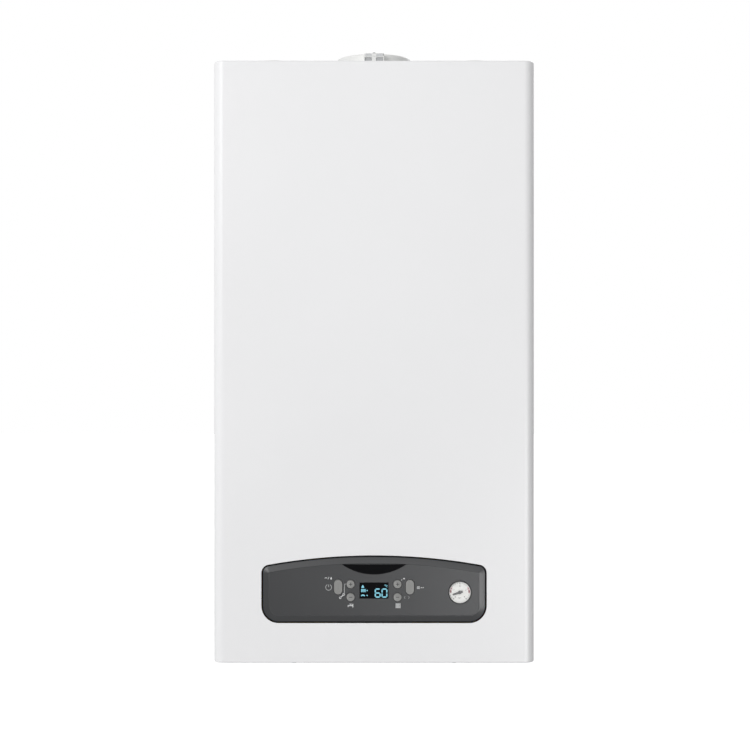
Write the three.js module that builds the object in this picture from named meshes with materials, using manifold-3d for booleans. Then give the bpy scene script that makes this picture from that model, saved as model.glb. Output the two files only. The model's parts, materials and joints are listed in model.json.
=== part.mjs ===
// A wall-hung combination boiler: a white casing with a control panel in its lower front, a sealed
// combustion chamber in the upper part, and the water and gas groups below it.
//
// Millimetres, +Z up. The front faces -Y and the wall is the plane y = 0. The pieces are written with
// z = 0 at the casing's lower edge; the whole boiler is then lowered so that the origin lies on the
// wall, at the middle of the wall rail.
import * as THREE from "three";
import { ConvexGeometry } from "three/addons/geometries/ConvexGeometry.js";
import { mergeVertices } from "three/addons/utils/BufferGeometryUtils.js";
import Module from "manifold-3d";

const wasm = await Module();
wasm.setup();

// ---------------------------------------------------------------- driving dimensions

// Casing
const WIDTH = 400;
const HEIGHT = 750;
const DEPTH = 315;
const COVER_SHEET = 1.2;
const COVER_CORNER = 13;
const COVER_RETURN = 45;
const COVER_BOTTOM_LIP = 30;
const COVER_TO_PANEL = 1.8;
const PANEL_SHEET = 1.2;
const FRAME_SHEET = 1.5;
const FLANGE = 15;
const SHEET_CLEARANCE = 0.4;
const SIDE_FRONT_SETBACK = 15;
const TRAY_RISE = 6;
const SCREW_X = 100;
const SCREW_SETBACK = 14;
const SCREW_RADIUS = 2;

// Cover hooks on the top panel's pegs
const HOOK_INSET = 50;
const HOOK_THICK = 4;
const HOOK_LENGTH = 14;
const PEG_RADIUS = 2.5;
const PEG_DROP = 8;
const PEG_SPAN = 16;

// Wall rail
const RAIL_SHEET = 2;
const RAIL_DROP = 54;
const RAIL_HALF = 140;
const RAIL_HEIGHT = 32;
const TONGUE_X = 110;
const TONGUE_WIDTH = 30;
const TONGUE_LIP = 10;
const RAIL_HOLE_X = 60;
const RAIL_HOLE_RADIUS = 5;

// Control panel
const FASCIA_HALF = 139.7;
const FASCIA_BOTTOM = 50.4;
const FASCIA_TOP = 133.6;
const FASCIA_ARCH = 747;
const FASCIA_TOP_CORNER = 10;
const FASCIA_BOTTOM_CORNER = 21;
const WINDOW_GAP = 1;
const FACE_INSET = 3;
const FACE_GAP = 0.3;
const BOX_HALF = 130;
const BOX_FLOOR = 56;
const BOX_TOP = 110;
const BOX_DEPTH = 34;
const BOX_WALL = 2;
const BOARD_THICK = 1.6;
const BOARD_MARGIN = 3;
const BRACKET_INNER = 132;
const BRACKET_THICK = 2.5;
const TILT_PIN_RADIUS = 1.6;
const TILT_PIN_DROP = 1.4;
const BUTTON_RADIUS = 5.15;
const BUTTON_X = 29.2;
const BUTTON_Z = [98.5, 82.3];
const OBLONG_X = 44.6;
const OBLONG_Z = 94.9;
const OBLONG_WIDTH = 10.5;
const OBLONG_LENGTH = 18.3;
const BUTTON_CLEARANCE = 0.4;
const BUTTON_PROUD = 1.2;
const BUTTON_TRAVEL = 1.2;
const BUTTON_FLANGE = 1.4;
const FLANGE_THICK = 1.2;
const DISPLAY_WIDTH = 35.7;
const DISPLAY_HEIGHT = 19.4;
const DISPLAY_Z = 90.6;
const INLAY_HALF = 40;
const INLAY_TOP = 123.2;
const INLAY_BOTTOM = 110.6;
const INLAY_THICK = 0.8;
const GAUGE_X = 106.8;
const GAUGE_Z = 88.2;
const GAUGE_RADIUS = 14.2;
const GAUGE_CASE_RADIUS = 17;
const GAUGE_RING = 1.2;
const SPINDLE_RADIUS = 1;
const NEEDLE_LENGTH = 9.6;
const NEEDLE_TAIL = 3.4;
const NEEDLE_THICK = 0.7;
const NEEDLE_REST = THREE.MathUtils.degToRad(199);

// Flue and air intakes on the top
const COLLAR_BACK = 150;
const COLLAR_RADIUS = 50;
const COLLAR_WALL = 3;
const COLLAR_RISE = 31.5;
const BOSS_HALF = 13;
const BOSS_DEPTH = 12;
const BOSS_RISE = 26;
const PORT_RADIUS = 4.5;
const PORT_X = 7;
const SAMPLING_CAP_THICK = 4;
const SPIGOT_RADIUS = 30;
const SPIGOT_WALL = 1.5;
const CAP_X = 130;
const CAP_BACK = 100;
const CAP_RADIUS = 31;
const CAP_RISE = 17.6;
const CAP_SPIGOT_RADIUS = 25;

// Sealed chamber and what it holds
const CHAMBER_HALF = 165;
const CHAMBER_HEIGHT = 416;
const CHAMBER_BACK = 62;
const CHAMBER_SETBACK = 12;
const CHAMBER_SHEET = 1;
const CHAMBER_COVER_RIM = 5;
const CLIP_X = 90;
const CLIP_WIDTH = 22;
const CLIP_PIN_RADIUS = 1.5;
const CLIP_BARREL_RADIUS = 4;
const STACK_HALF_X = 120;
const STACK_HALF_Y = 70;
const BURNER_DROP = 360;
const BURNER_HEIGHT = 40;
const FIREBOX_HEIGHT = 128;
const FIREBOX_WALL = 10;
const EXCHANGER_HEIGHT = 70;
const EXCHANGER_INSET = 4;
const HEADER = 14;
const HOOD_HEIGHT = 56;
const FAN_X = -22;
const FAN_DROP = 56;
const FAN_RADIUS = 42;
const FAN_DEPTH = 50;
const FAN_WALL = 1.5;
const FAN_WHEEL_RADIUS = 34;
const FAN_BLADES = 14;
const SHAFT_RADIUS = 3;
const SHAFT_CLEARANCE = 0.3;

// Expansion vessel
const VESSEL_HALF = 150;
const VESSEL_HEIGHT = 300;
const VESSEL_THICK = 53;
const VESSEL_PORT_X = 100;

// Water and gas groups
const STUB_X = { flow: -133, hot: -67, gas: 0, cold: 67, back: 133 };
const STUB_BACK = 100;
const STUB_DROP = 25;
const STUB_LARGE = 13;
const STUB_SMALL = 10.5;
const STUB_WALL = 3.5;
const STUB_COLLAR = 5;
const BAR_FLOOR = 14;
const BAR_TOP = 52;
const BAR_HALF_DEPTH = 22;
const EXCHANGER_PLATE_HALF = 96;
const EXCHANGER_PLATE_FLOOR = 58;
const EXCHANGER_PLATE_TOP = 130;
const EXCHANGER_PLATE_FRONT = 68;
const EXCHANGER_PLATE_THICK = 40;
const PORT_ARM = 16;
const DIVERTER_X = -115;
const DIVERTER_TOP = 100;
const DIVERTER_TRAVEL = 8;
const PUMP_X = 108;
const PUMP_Z = 150;
const PUMP_RADIUS = 48;
const PUMP_DEPTH = 42;
const PUMP_WHEEL_RADIUS = 32;
const OUTLET_X = 16;
const TAP_X = 96;
const TAP_REACH = 48;
const TAP_STEM_RADIUS = 3;
const VALVE_X = 148;
const VALVE_LENGTH = 28;
const PIPE_RADIUS = 8;
const PIPE_BEND = 20;
const PIPE_TIGHT_BEND = 10;
const PIPE_GAP = 0.3;
const PIPE_X = 150;
const GAS_VALVE_FLOOR = 150;
const GAS_VALVE_HEIGHT = 75;
const KNOB_RADIUS = 14;

// How round things are
const SIDES_LARGE = 24;
const SIDES_MEDIUM = 16;
const SIDES_SMALL = 10;

// ---------------------------------------------------------------- places worked out from them

const FRONT = -DEPTH;
const COVER_REAR = FRONT + COVER_RETURN;
const PEG_Y = COVER_REAR - 2;
const PEG_Z = HEIGHT - PEG_DROP;
const HOOK_X = WIDTH / 2 - HOOK_INSET;
const SIDE_OUTER = WIDTH / 2 - COVER_SHEET - SHEET_CLEARANCE;
const SIDE_INNER = SIDE_OUTER - PANEL_SHEET;
const PLATE_HALF = SIDE_INNER - SHEET_CLEARANCE;
const PANEL_TOP = HEIGHT - COVER_SHEET - COVER_TO_PANEL;
const FRAME_BACK = -RAIL_SHEET;
const FRAME_FRONT = FRAME_BACK - FRAME_SHEET;
const PANEL_REAR = FRAME_FRONT - PANEL_SHEET;
const SIDE_FRONT = FRONT + SIDE_FRONT_SETBACK;
const SCREW_Y = FRONT + SCREW_SETBACK;
const PLATE_FRONT = SIDE_FRONT + PANEL_SHEET + SHEET_CLEARANCE;
const TRAY_TOP = TRAY_RISE + PANEL_SHEET;
const RAIL_Z = HEIGHT - RAIL_DROP;
const TONGUE_Z = RAIL_Z + 6;
const COLLAR_Y = FRONT + COLLAR_BACK;
const PORT_Y = -COLLAR_RADIUS - BOSS_DEPTH / 2 + 1;
const CAP_Y = FRONT + CAP_BACK;
const CHAMBER_TOP = PANEL_TOP - PANEL_SHEET;
const CHAMBER_FLOOR = CHAMBER_TOP - CHAMBER_HEIGHT;
const CHAMBER_FRONT = COVER_REAR + CHAMBER_SETBACK;
const CHAMBER_REAR = -CHAMBER_BACK;
const CLIP_PIN_Y = CHAMBER_FRONT + 12;
const CLIP_PIN_Z = CHAMBER_FLOOR - 8;
const BURNER_TOP = CHAMBER_TOP - BURNER_DROP + 4;
const FIREBOX_TOP = BURNER_TOP + FIREBOX_HEIGHT;
const EXCHANGER_TOP = FIREBOX_TOP + EXCHANGER_HEIGHT;
const HEADER_END = STACK_HALF_X - EXCHANGER_INSET + HEADER;
const HEADER_Z = FIREBOX_TOP + EXCHANGER_HEIGHT / 2;
const FAN_Z = CHAMBER_TOP - FAN_DROP;
const FAN_FRONT = COLLAR_Y - FAN_DEPTH / 2;
const WHEEL_GAP = 5;
const FAN_OUTLET = CHAMBER_TOP - 10;
const STUB_Y = -STUB_BACK;
const TAP_Y = STUB_Y - TAP_REACH;
const VALVE_Z = (BAR_FLOOR + BAR_TOP) / 2;
const PUMP_REAR = STUB_Y + BAR_HALF_DEPTH - 2;
const PUMP_FRONT = PUMP_REAR - PUMP_DEPTH;
const VESSEL_TOP = RAIL_Z - RAIL_HEIGHT / 2 - 4;
const VESSEL_FLOOR = VESSEL_TOP - VESSEL_HEIGHT;
const VESSEL_PORT_Y = FRAME_FRONT - 14;
const FASCIA_REAR = FRONT + 3;
const RIM_FRONT = FASCIA_REAR - 1;
const FACE_FRONT = FRONT - 1.5;
const INLAY_FRONT = FACE_FRONT - 0.2;
const GAUGE_HOLE = GAUGE_RADIUS + FACE_GAP;
const DIAL_FRONT = FACE_FRONT + 2.6;
const NEEDLE_FRONT = FACE_FRONT + 0.7;
const TILT_Y = FASCIA_REAR + 0.2;
const TILT_Z = FASCIA_BOTTOM - TILT_PIN_DROP;
const BOX_REAR = FASCIA_REAR + BOX_DEPTH;
const FLANGE_FRONT = FASCIA_REAR + 0.3;
const BOARD_FRONT = FASCIA_REAR + 8;
const BOARD_LOW = BOX_FLOOR + BOARD_MARGIN;
const BOARD_HIGH = BOX_TOP - BOARD_MARGIN;
const MANIFOLD_Y = CHAMBER_FRONT + 14;
const MANIFOLD_Z = BURNER_TOP - 32;

// ---------------------------------------------------------------- materials

const material = (color, roughness, metalness = 0) =>
  new THREE.MeshStandardMaterial({ color, roughness, metalness });

const WHITE_PAINT = material(0xe9e9ea, 0.35);
const ZINC_SHEET = material(0xb4b7b9, 0.42, 0.9);
const WHITE_PLASTIC = material(0xe4e4e2, 0.45);
const CAST_ALUMINIUM = material(0xb9bbbc, 0.45, 0.9);
const FASCIA_GREY = material(0x4b4c4e, 0.38);
const GLOSS_BLACK = material(0x141416, 0.12);
const BUTTON_GREY = material(0x8a8b8c, 0.45);
const DIAL_WHITE = material(0xe6e6e2, 0.5);
const CLEAR_PLASTIC = material(0xf4f6f6, 0.08);
const BLACK_PLASTIC = material(0x242526, 0.55);
const RED_PLASTIC = material(0xb3221d, 0.45);
const COPPER = material(0xb9724a, 0.35, 1);
const BRASS = material(0xb89a54, 0.38, 1);
const STEEL = material(0xa9acae, 0.35, 1);
const RED_PAINT = material(0x9d2a22, 0.5);
const BOARD_GREEN = material(0x2c5b3c, 0.6);
const CERAMIC_FIBRE = material(0xcfc6b4, 0.9);

// ---------------------------------------------------------------- shaping tools

// A closed geometry as a solid.
function solid(geometry) {
  const bare = geometry.index ? geometry.toNonIndexed() : geometry.clone();
  bare.deleteAttribute("normal");
  bare.deleteAttribute("uv");
  const merged = mergeVertices(bare, 1e-4);
  const corners = Array.from(merged.index.array);
  const faces = [];
  for (let i = 0; i < corners.length; i += 3) {
    const [a, b, c] = corners.slice(i, i + 3);
    if (a !== b && b !== c && c !== a) faces.push(a, b, c);
  }
  return new wasm.Manifold(
    new wasm.Mesh({
      numProp: 3,
      vertProperties: merged.attributes.position.array,
      triVerts: new Uint32Array(faces),
    }),
  );
}

const asSolid = (shape) => (shape.isBufferGeometry ? solid(shape) : shape);

const join = (first, ...rest) =>
  rest.flat().reduce((sum, shape) => sum.add(asSolid(shape)), asSolid(first));

const cut = (first, ...rest) =>
  rest.flat().reduce((left, shape) => left.subtract(asSolid(shape)), asSolid(first));

// A box between two values on each axis.
const block = (x0, x1, y0, y1, z0, z1) =>
  new THREE.BoxGeometry(x1 - x0, y1 - y0, z1 - z0).translate(
    (x0 + x1) / 2,
    (y0 + y1) / 2,
    (z0 + z1) / 2,
  );

// Round bars along each axis, from one value to another, centred on the other two coordinates.
const rodX = (radius, x0, x1, y, z, sides = SIDES_MEDIUM) =>
  new THREE.CylinderGeometry(radius, radius, x1 - x0, sides)
    .rotateZ(Math.PI / 2)
    .translate((x0 + x1) / 2, y, z);

const rodY = (radius, y0, y1, x, z, sides = SIDES_MEDIUM) =>
  new THREE.CylinderGeometry(radius, radius, y1 - y0, sides).translate(x, (y0 + y1) / 2, z);

const rodZ = (radius, z0, z1, x, y, sides = SIDES_MEDIUM) =>
  new THREE.CylinderGeometry(radius, radius, z1 - z0, sides)
    .rotateX(Math.PI / 2)
    .translate(x, y, (z0 + z1) / 2);

// A plan outline (x, y) raised between two heights.
const slab = (outline, z0, z1, segments = 4) =>
  new THREE.ExtrudeGeometry(outline, {
    depth: z1 - z0,
    bevelEnabled: false,
    curveSegments: segments,
  }).translate(0, 0, z0);

// A front outline (x, z) extruded between two depths.
const plate = (outline, y0, y1, segments = 4) =>
  new THREE.ExtrudeGeometry(outline, {
    depth: y1 - y0,
    bevelEnabled: false,
    curveSegments: segments,
  })
    .rotateX(Math.PI / 2)
    .translate(0, y1, 0);

// A rectangle with round corners, in the plane that the caller extrudes.
function roundedRectangle(left, right, low, high, radius) {
  const shape = new THREE.Shape();
  shape.moveTo(left + radius, low);
  shape.lineTo(right - radius, low);
  shape.absarc(right - radius, low + radius, radius, -Math.PI / 2, 0);
  shape.lineTo(right, high - radius);
  shape.absarc(right - radius, high - radius, radius, 0, Math.PI / 2);
  shape.lineTo(left + radius, high);
  shape.absarc(left + radius, high - radius, radius, Math.PI / 2, Math.PI);
  shape.lineTo(left, low + radius);
  shape.absarc(left + radius, low + radius, radius, Math.PI, Math.PI * 1.5);
  return shape;
}

// The line of a bent pipe: straight runs between corners, with an arc of a few steps at each one.
class BentLine extends THREE.Curve {
  constructor(corners, radius, steps = 3) {
    super();
    const points = corners.map((corner) => new THREE.Vector3(...corner));
    this.knots = [points[0]];
    for (let i = 1; i < points.length - 1; i += 1) {
      const into = points[i].clone().sub(points[i - 1]).normalize();
      const out = points[i + 1].clone().sub(points[i]).normalize();
      const centre = points[i].clone().addScaledVector(out.clone().sub(into), radius);
      for (let step = 0; step <= steps; step += 1) {
        const angle = ((Math.PI / 2) * step) / steps;
        this.knots.push(
          centre
            .clone()
            .addScaledVector(out, -radius * Math.cos(angle))
            .addScaledVector(into, radius * Math.sin(angle)),
        );
      }
    }
    this.knots.push(points.at(-1));
  }

  getPointAt(u) {
    const place = u * (this.knots.length - 1);
    const before = Math.min(Math.floor(place), this.knots.length - 2);
    return this.knots[before].clone().lerp(this.knots[before + 1], place - before);
  }

  getTangentAt(u) {
    const nudge = 0.01 / this.knots.length;
    const behind = this.getPointAt(Math.max(u - nudge, 0));
    const ahead = this.getPointAt(Math.min(u + nudge, 1));
    return ahead.sub(behind).normalize();
  }
}

// A pipe with square bends, given by its corners.
function pipe(corners, radius, bend, sides = 8) {
  const line = new BentLine(corners, bend);
  const section = new THREE.Shape();
  section.absarc(0, 0, radius, 0, Math.PI * 2);
  return new THREE.ExtrudeGeometry(section, {
    steps: line.knots.length - 1,
    curveSegments: sides / 2,
    extrudePath: line,
  });
}

// ---------------------------------------------------------------- the tree of pieces

const boiler = new THREE.Group();
const groups = {};
for (const name of ["casing", "flue", "chamber", "hydraulics", "controls"]) {
  groups[name] = new THREE.Group();
  groups[name].name = name;
  boiler.add(groups[name]);
}
boiler.position.z = -RAIL_Z;

// Adds a solid to a group as a named mesh. Its shape is drawn about the place it is given.
function add(group, name, shape, look, x = 0, y = 0, z = 0) {
  const made = asSolid(shape).getMesh();
  const indexed = new THREE.BufferGeometry();
  indexed.setAttribute("position", new THREE.BufferAttribute(made.vertProperties, 3));
  indexed.setIndex(new THREE.BufferAttribute(made.triVerts, 1));
  const geometry = indexed.toNonIndexed();
  geometry.computeVertexNormals();
  const mesh = new THREE.Mesh(geometry, look);
  mesh.name = name;
  mesh.position.set(x, y, z);
  groups[group].add(mesh);
}

// ---------------------------------------------------------------- casing

// The cover's plan at a distance inside its outer skin, from the front back to a given depth.
function coverPlan(inset, rear) {
  const half = WIDTH / 2 - inset;
  const front = FRONT + inset;
  const radius = COVER_CORNER - inset;
  const plan = new THREE.Shape();
  plan.moveTo(-half, rear);
  plan.lineTo(-half, front + radius);
  plan.absarc(-half + radius, front + radius, radius, Math.PI, Math.PI * 1.5);
  plan.lineTo(half - radius, front);
  plan.absarc(half - radius, front + radius, radius, Math.PI * 1.5, Math.PI * 2);
  plan.lineTo(half, rear);
  return plan;
}

// The fascia's outline, drawn in by an inset: an arched top and large lower corners.
function fasciaOutline(inset) {
  const half = FASCIA_HALF - inset;
  const low = FASCIA_BOTTOM + inset;
  const arch = FASCIA_ARCH - inset;
  const archZ = FASCIA_TOP - FASCIA_ARCH;
  const lower = FASCIA_BOTTOM_CORNER - inset;
  const upper = FASCIA_TOP_CORNER - inset;
  const upperX = half - upper;
  const upperZ = archZ + Math.sqrt((arch - upper) ** 2 - upperX ** 2);
  const lean = Math.atan2(upperZ - archZ, upperX);
  const outline = new THREE.Shape();
  outline.moveTo(-half + lower, low);
  outline.lineTo(half - lower, low);
  outline.absarc(half - lower, low + lower, lower, -Math.PI / 2, 0);
  outline.lineTo(half, upperZ);
  outline.absarc(upperX, upperZ, upper, 0, lean);
  outline.absarc(0, archZ, arch, lean, Math.PI - lean);
  outline.absarc(-upperX, upperZ, upper, Math.PI - lean, Math.PI);
  outline.lineTo(-half, low + lower);
  outline.absarc(-half + lower, low + lower, lower, Math.PI, Math.PI * 1.5);
  return outline;
}

function frontCover() {
  const reach = 1;
  const hole = SCREW_RADIUS + SHEET_CLEARANCE;
  const shell = cut(
    slab(coverPlan(0, COVER_REAR), 0, HEIGHT),
    slab(coverPlan(COVER_SHEET, COVER_REAR + reach), COVER_SHEET, HEIGHT - COVER_SHEET),
    block(
      -WIDTH / 2 + COVER_SHEET,
      WIDTH / 2 - COVER_SHEET,
      FRONT + COVER_BOTTOM_LIP,
      COVER_REAR + reach,
      -reach,
      COVER_SHEET + reach,
    ),
    plate(fasciaOutline(-WINDOW_GAP), FRONT - reach, FRONT + COVER_SHEET + reach),
    [-1, 1].map((side) =>
      rodZ(hole, -reach, COVER_SHEET + reach, side * SCREW_X, SCREW_Y, SIDES_SMALL),
    ),
  );
  const notch = PEG_RADIUS + SHAFT_CLEARANCE;
  const hooks = [-1, 1].map((side) => {
    const left = side * HOOK_X - HOOK_THICK / 2;
    const right = left + HOOK_THICK;
    return cut(
      block(left, right, PEG_Y - HOOK_LENGTH / 2, PEG_Y + 2, PEG_Z - 3, HEIGHT - COVER_SHEET / 2),
      rodX(notch, left - 1, right + 1, PEG_Y, PEG_Z),
      block(left - 1, right + 1, PEG_Y - notch, PEG_Y + notch, PEG_Z - 4, PEG_Z),
    );
  });
  return join(shell, hooks);
}

// A captive screw: its head under the cover's lower lip, its shank up into the tray's open slot.
function coverScrew() {
  const headRadius = 4;
  const headHeight = 2.5;
  return join(
    rodZ(headRadius, -headHeight, 0, 0, 0, SIDES_SMALL),
    rodZ(SCREW_RADIUS, -1, TRAY_TOP + 3, 0, 0, SIDES_SMALL),
  );
}

// A side sheet with a flange turned in along its front and its rear edge.
function sidePanel(side) {
  const low = 3;
  const tip = SIDE_OUTER - FLANGE;
  const corners = [
    [tip, SIDE_FRONT],
    [SIDE_OUTER, SIDE_FRONT],
    [SIDE_OUTER, FRAME_FRONT],
    [tip, FRAME_FRONT],
    [tip, PANEL_REAR],
    [SIDE_INNER, PANEL_REAR],
    [SIDE_INNER, SIDE_FRONT + PANEL_SHEET],
    [tip, SIDE_FRONT + PANEL_SHEET],
  ];
  const plan = new THREE.Shape(corners.map(([x, y]) => new THREE.Vector2(side * x, y)));
  return slab(plan, low, PANEL_TOP);
}

function topPanel() {
  const edge = SIDE_OUTER - FLANGE - 1;
  const under = PANEL_TOP - PANEL_SHEET;
  const rear = PANEL_REAR - SHEET_CLEARANCE;
  const sheet = block(-PLATE_HALF, PLATE_HALF, PLATE_FRONT, rear, under, PANEL_TOP);
  const frontFlange = block(-edge, edge, PLATE_FRONT, PLATE_FRONT + PANEL_SHEET, PANEL_TOP - 20, PANEL_TOP);
  const rearFlange = block(-edge, edge, PANEL_REAR, FRAME_FRONT, PANEL_TOP - 20, PANEL_TOP);
  const bridge = block(-edge, edge, PANEL_REAR - 1, FRAME_FRONT, under, PANEL_TOP);
  const holes = [
    rodZ(COLLAR_RADIUS + SHEET_CLEARANCE, under - 1, PANEL_TOP + 1, 0, COLLAR_Y, SIDES_LARGE),
    ...[-1, 1].map((side) =>
      rodZ(CAP_SPIGOT_RADIUS + SHEET_CLEARANCE, under - 1, PANEL_TOP + 1, side * CAP_X, CAP_Y, SIDES_LARGE),
    ),
  ];
  const slotHalf = PEG_SPAN / 2 - 2;
  const slots = [-1, 1].map((side) =>
    block(
      side * HOOK_X - slotHalf,
      side * HOOK_X + slotHalf,
      PEG_Y - HOOK_LENGTH / 2 - 3,
      PEG_Y + HOOK_LENGTH / 2 + 3,
      under - 1,
      PANEL_TOP + 1,
    ),
  );
  const pegs = [-1, 1].flatMap((side) => {
    const left = side * HOOK_X - PEG_SPAN / 2;
    const right = left + PEG_SPAN;
    const ear = (x) => block(x, x + 2, PEG_Y - 5, PEG_Y + 5, PEG_Z - 4, under + 0.5);
    return [
      rodX(PEG_RADIUS, left + 1, right - 1, PEG_Y, PEG_Z, SIDES_SMALL),
      ear(left),
      ear(right - 2),
    ];
  });
  return join(cut(join(sheet, frontFlange, bridge, rearFlange), holes, slots), pegs);
}

function bottomTray() {
  const edge = SIDE_OUTER - FLANGE - 1;
  const rear = PANEL_REAR - SHEET_CLEARANCE;
  const sheet = block(-PLATE_HALF, PLATE_HALF, PLATE_FRONT, rear, TRAY_RISE, TRAY_TOP);
  const bridge = block(-edge, edge, PANEL_REAR - 1, FRAME_FRONT, TRAY_RISE, TRAY_TOP);
  const rearFlange = block(-edge, edge, PANEL_REAR, FRAME_FRONT, TRAY_RISE, TRAY_RISE + 24);
  const stubHoles = Object.values(STUB_X).map((x) =>
    rodZ(STUB_LARGE + 1, TRAY_RISE - 1, TRAY_TOP + 1, x, STUB_Y),
  );
  const tapHole = rodZ(TAP_STEM_RADIUS + 2, TRAY_RISE - 1, TRAY_TOP + 1, TAP_X, TAP_Y, SIDES_SMALL);
  const tabs = [-1, 1].map((side) => {
    const x = side * SCREW_X;
    const slotHalf = SCREW_RADIUS + 2 * SHEET_CLEARANCE;
    return cut(
      block(x - 12, x + 12, SCREW_Y - 7, PLATE_FRONT + 1, TRAY_RISE, TRAY_TOP),
      block(x - slotHalf, x + slotHalf, SCREW_Y - 8, SCREW_Y + 3, TRAY_RISE - 1, TRAY_TOP + 1),
    );
  });
  const brackets = [-1, 1].map((side) => {
    const near = side * BRACKET_INNER;
    const far = side * (BRACKET_INNER + BRACKET_THICK);
    const x0 = Math.min(near, far);
    const x1 = Math.max(near, far);
    const front = TILT_Y - TILT_PIN_RADIUS - 0.3;
    return cut(
      join(
        block(x0, x1, front, PLATE_FRONT + 12, TRAY_RISE, TILT_Z - 6),
        block(x0, x1, front, front + 12, TRAY_RISE, TILT_Z + 3.5),
      ),
      rodX(TILT_PIN_RADIUS + SHAFT_CLEARANCE, x0 - 1, x1 + 1, TILT_Y, TILT_Z, SIDES_SMALL),
    );
  });
  return join(cut(join(sheet, bridge, rearFlange), stubHoles, tapHole), tabs, brackets);
}

function backFrame() {
  const slots = [-1, 1].map((side) =>
    block(
      side * TONGUE_X - TONGUE_WIDTH / 2 - 2,
      side * TONGUE_X + TONGUE_WIDTH / 2 + 2,
      FRAME_FRONT - 1,
      FRAME_BACK + 1,
      TONGUE_Z - TONGUE_LIP - RAIL_SHEET - 4,
      TONGUE_Z + RAIL_SHEET,
    ),
  );
  const screwRooms = [-1, 1].map((side) =>
    rodY(RAIL_HOLE_RADIUS + 6, FRAME_FRONT - 1, FRAME_BACK + 1, side * RAIL_HOLE_X, RAIL_Z),
  );
  return cut(
    block(-PLATE_HALF + 1, PLATE_HALF - 1, FRAME_FRONT, FRAME_BACK, 3, PANEL_TOP),
    slots,
    screwRooms,
  );
}

// The rail on the wall. Its two tongues pass through the frame's slots and turn up in front of it.
function wallRail() {
  const low = RAIL_Z - RAIL_HEIGHT / 2;
  const strip = cut(
    block(-RAIL_HALF, RAIL_HALF, -RAIL_SHEET, 0, low, low + RAIL_HEIGHT),
    [-1, 1].map((side) =>
      rodY(RAIL_HOLE_RADIUS, -RAIL_SHEET - 1, 1, side * RAIL_HOLE_X, RAIL_Z, SIDES_SMALL),
    ),
  );
  const lipRear = FRAME_FRONT - SHEET_CLEARANCE;
  const tongues = [-1, 1].flatMap((side) => {
    const left = side * TONGUE_X - TONGUE_WIDTH / 2;
    const right = left + TONGUE_WIDTH;
    return [
      block(left, right, lipRear - RAIL_SHEET, -RAIL_SHEET / 2, TONGUE_Z, TONGUE_Z + RAIL_SHEET),
      block(left, right, lipRear - RAIL_SHEET, lipRear, TONGUE_Z, TONGUE_Z + RAIL_SHEET + TONGUE_LIP),
    ];
  });
  return join(strip, tongues);
}

// ---------------------------------------------------------------- flue and air intakes

// The collar's upright ring with its foot and, in front, a boss with the two flue test points.
function flueCollar() {
  const skirt = 2;
  const footRadius = 65;
  const footHeight = 2.4;
  const bossRear = -COLLAR_RADIUS + 3;
  const bossFront = -COLLAR_RADIUS - BOSS_DEPTH + 2;
  const body = join(
    rodZ(COLLAR_RADIUS, -skirt, COLLAR_RISE, 0, 0, SIDES_LARGE),
    rodZ(footRadius, 0, footHeight, 0, 0, SIDES_LARGE),
    block(-BOSS_HALF, BOSS_HALF, bossFront, bossRear, 0, BOSS_RISE),
  );
  return cut(
    body,
    rodZ(COLLAR_RADIUS - COLLAR_WALL, -skirt - 1, COLLAR_RISE + 1, 0, 0, SIDES_LARGE),
    [-1, 1].map((side) => rodZ(PORT_RADIUS, footHeight, BOSS_RISE + 1, side * PORT_X, PORT_Y, SIDES_SMALL)),
    rodZ(1.6, BOSS_RISE - 12, BOSS_RISE + 1, 0, PORT_Y, SIDES_SMALL),
  );
}

// One bridge closes both test points with a plug each.
function samplingCap() {
  const plugDepth = 8;
  const halfY = BOSS_DEPTH / 2 - 1;
  return cut(
    join(
      block(-BOSS_HALF, BOSS_HALF, PORT_Y - halfY, PORT_Y + halfY, BOSS_RISE, BOSS_RISE + SAMPLING_CAP_THICK),
      [-1, 1].map((side) =>
        rodZ(PORT_RADIUS - 0.3, BOSS_RISE - plugDepth, BOSS_RISE + 1, side * PORT_X, PORT_Y, SIDES_SMALL),
      ),
    ),
    rodZ(1.6, BOSS_RISE - 1, BOSS_RISE + SAMPLING_CAP_THICK + 1, 0, PORT_Y, SIDES_SMALL),
  );
}

function samplingScrew() {
  const seat = BOSS_RISE + SAMPLING_CAP_THICK;
  return join(
    rodZ(2.7, seat, seat + 2.2, 0, PORT_Y, SIDES_SMALL),
    rodZ(1.3, seat - 12, seat + 1, 0, PORT_Y, SIDES_SMALL),
  );
}

const flueSpigot = () =>
  cut(
    rodZ(SPIGOT_RADIUS, 0, PANEL_TOP + COLLAR_RISE - 6 - FAN_OUTLET, 0, 0, SIDES_LARGE),
    rodZ(SPIGOT_RADIUS - SPIGOT_WALL, -1, HEIGHT, 0, 0, SIDES_LARGE),
  );

function airCap() {
  const chamfer = 2.5;
  const spigotDepth = 2.2;
  return join(
    rodZ(CAP_RADIUS, 0, CAP_RISE - chamfer, 0, 0, SIDES_LARGE),
    new THREE.CylinderGeometry(CAP_RADIUS - chamfer, CAP_RADIUS, chamfer, SIDES_LARGE)
      .rotateX(Math.PI / 2)
      .translate(0, 0, CAP_RISE - chamfer / 2),
    rodZ(CAP_SPIGOT_RADIUS, -spigotDepth, 1, 0, 0, SIDES_LARGE),
  );
}

// ---------------------------------------------------------------- sealed chamber

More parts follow.
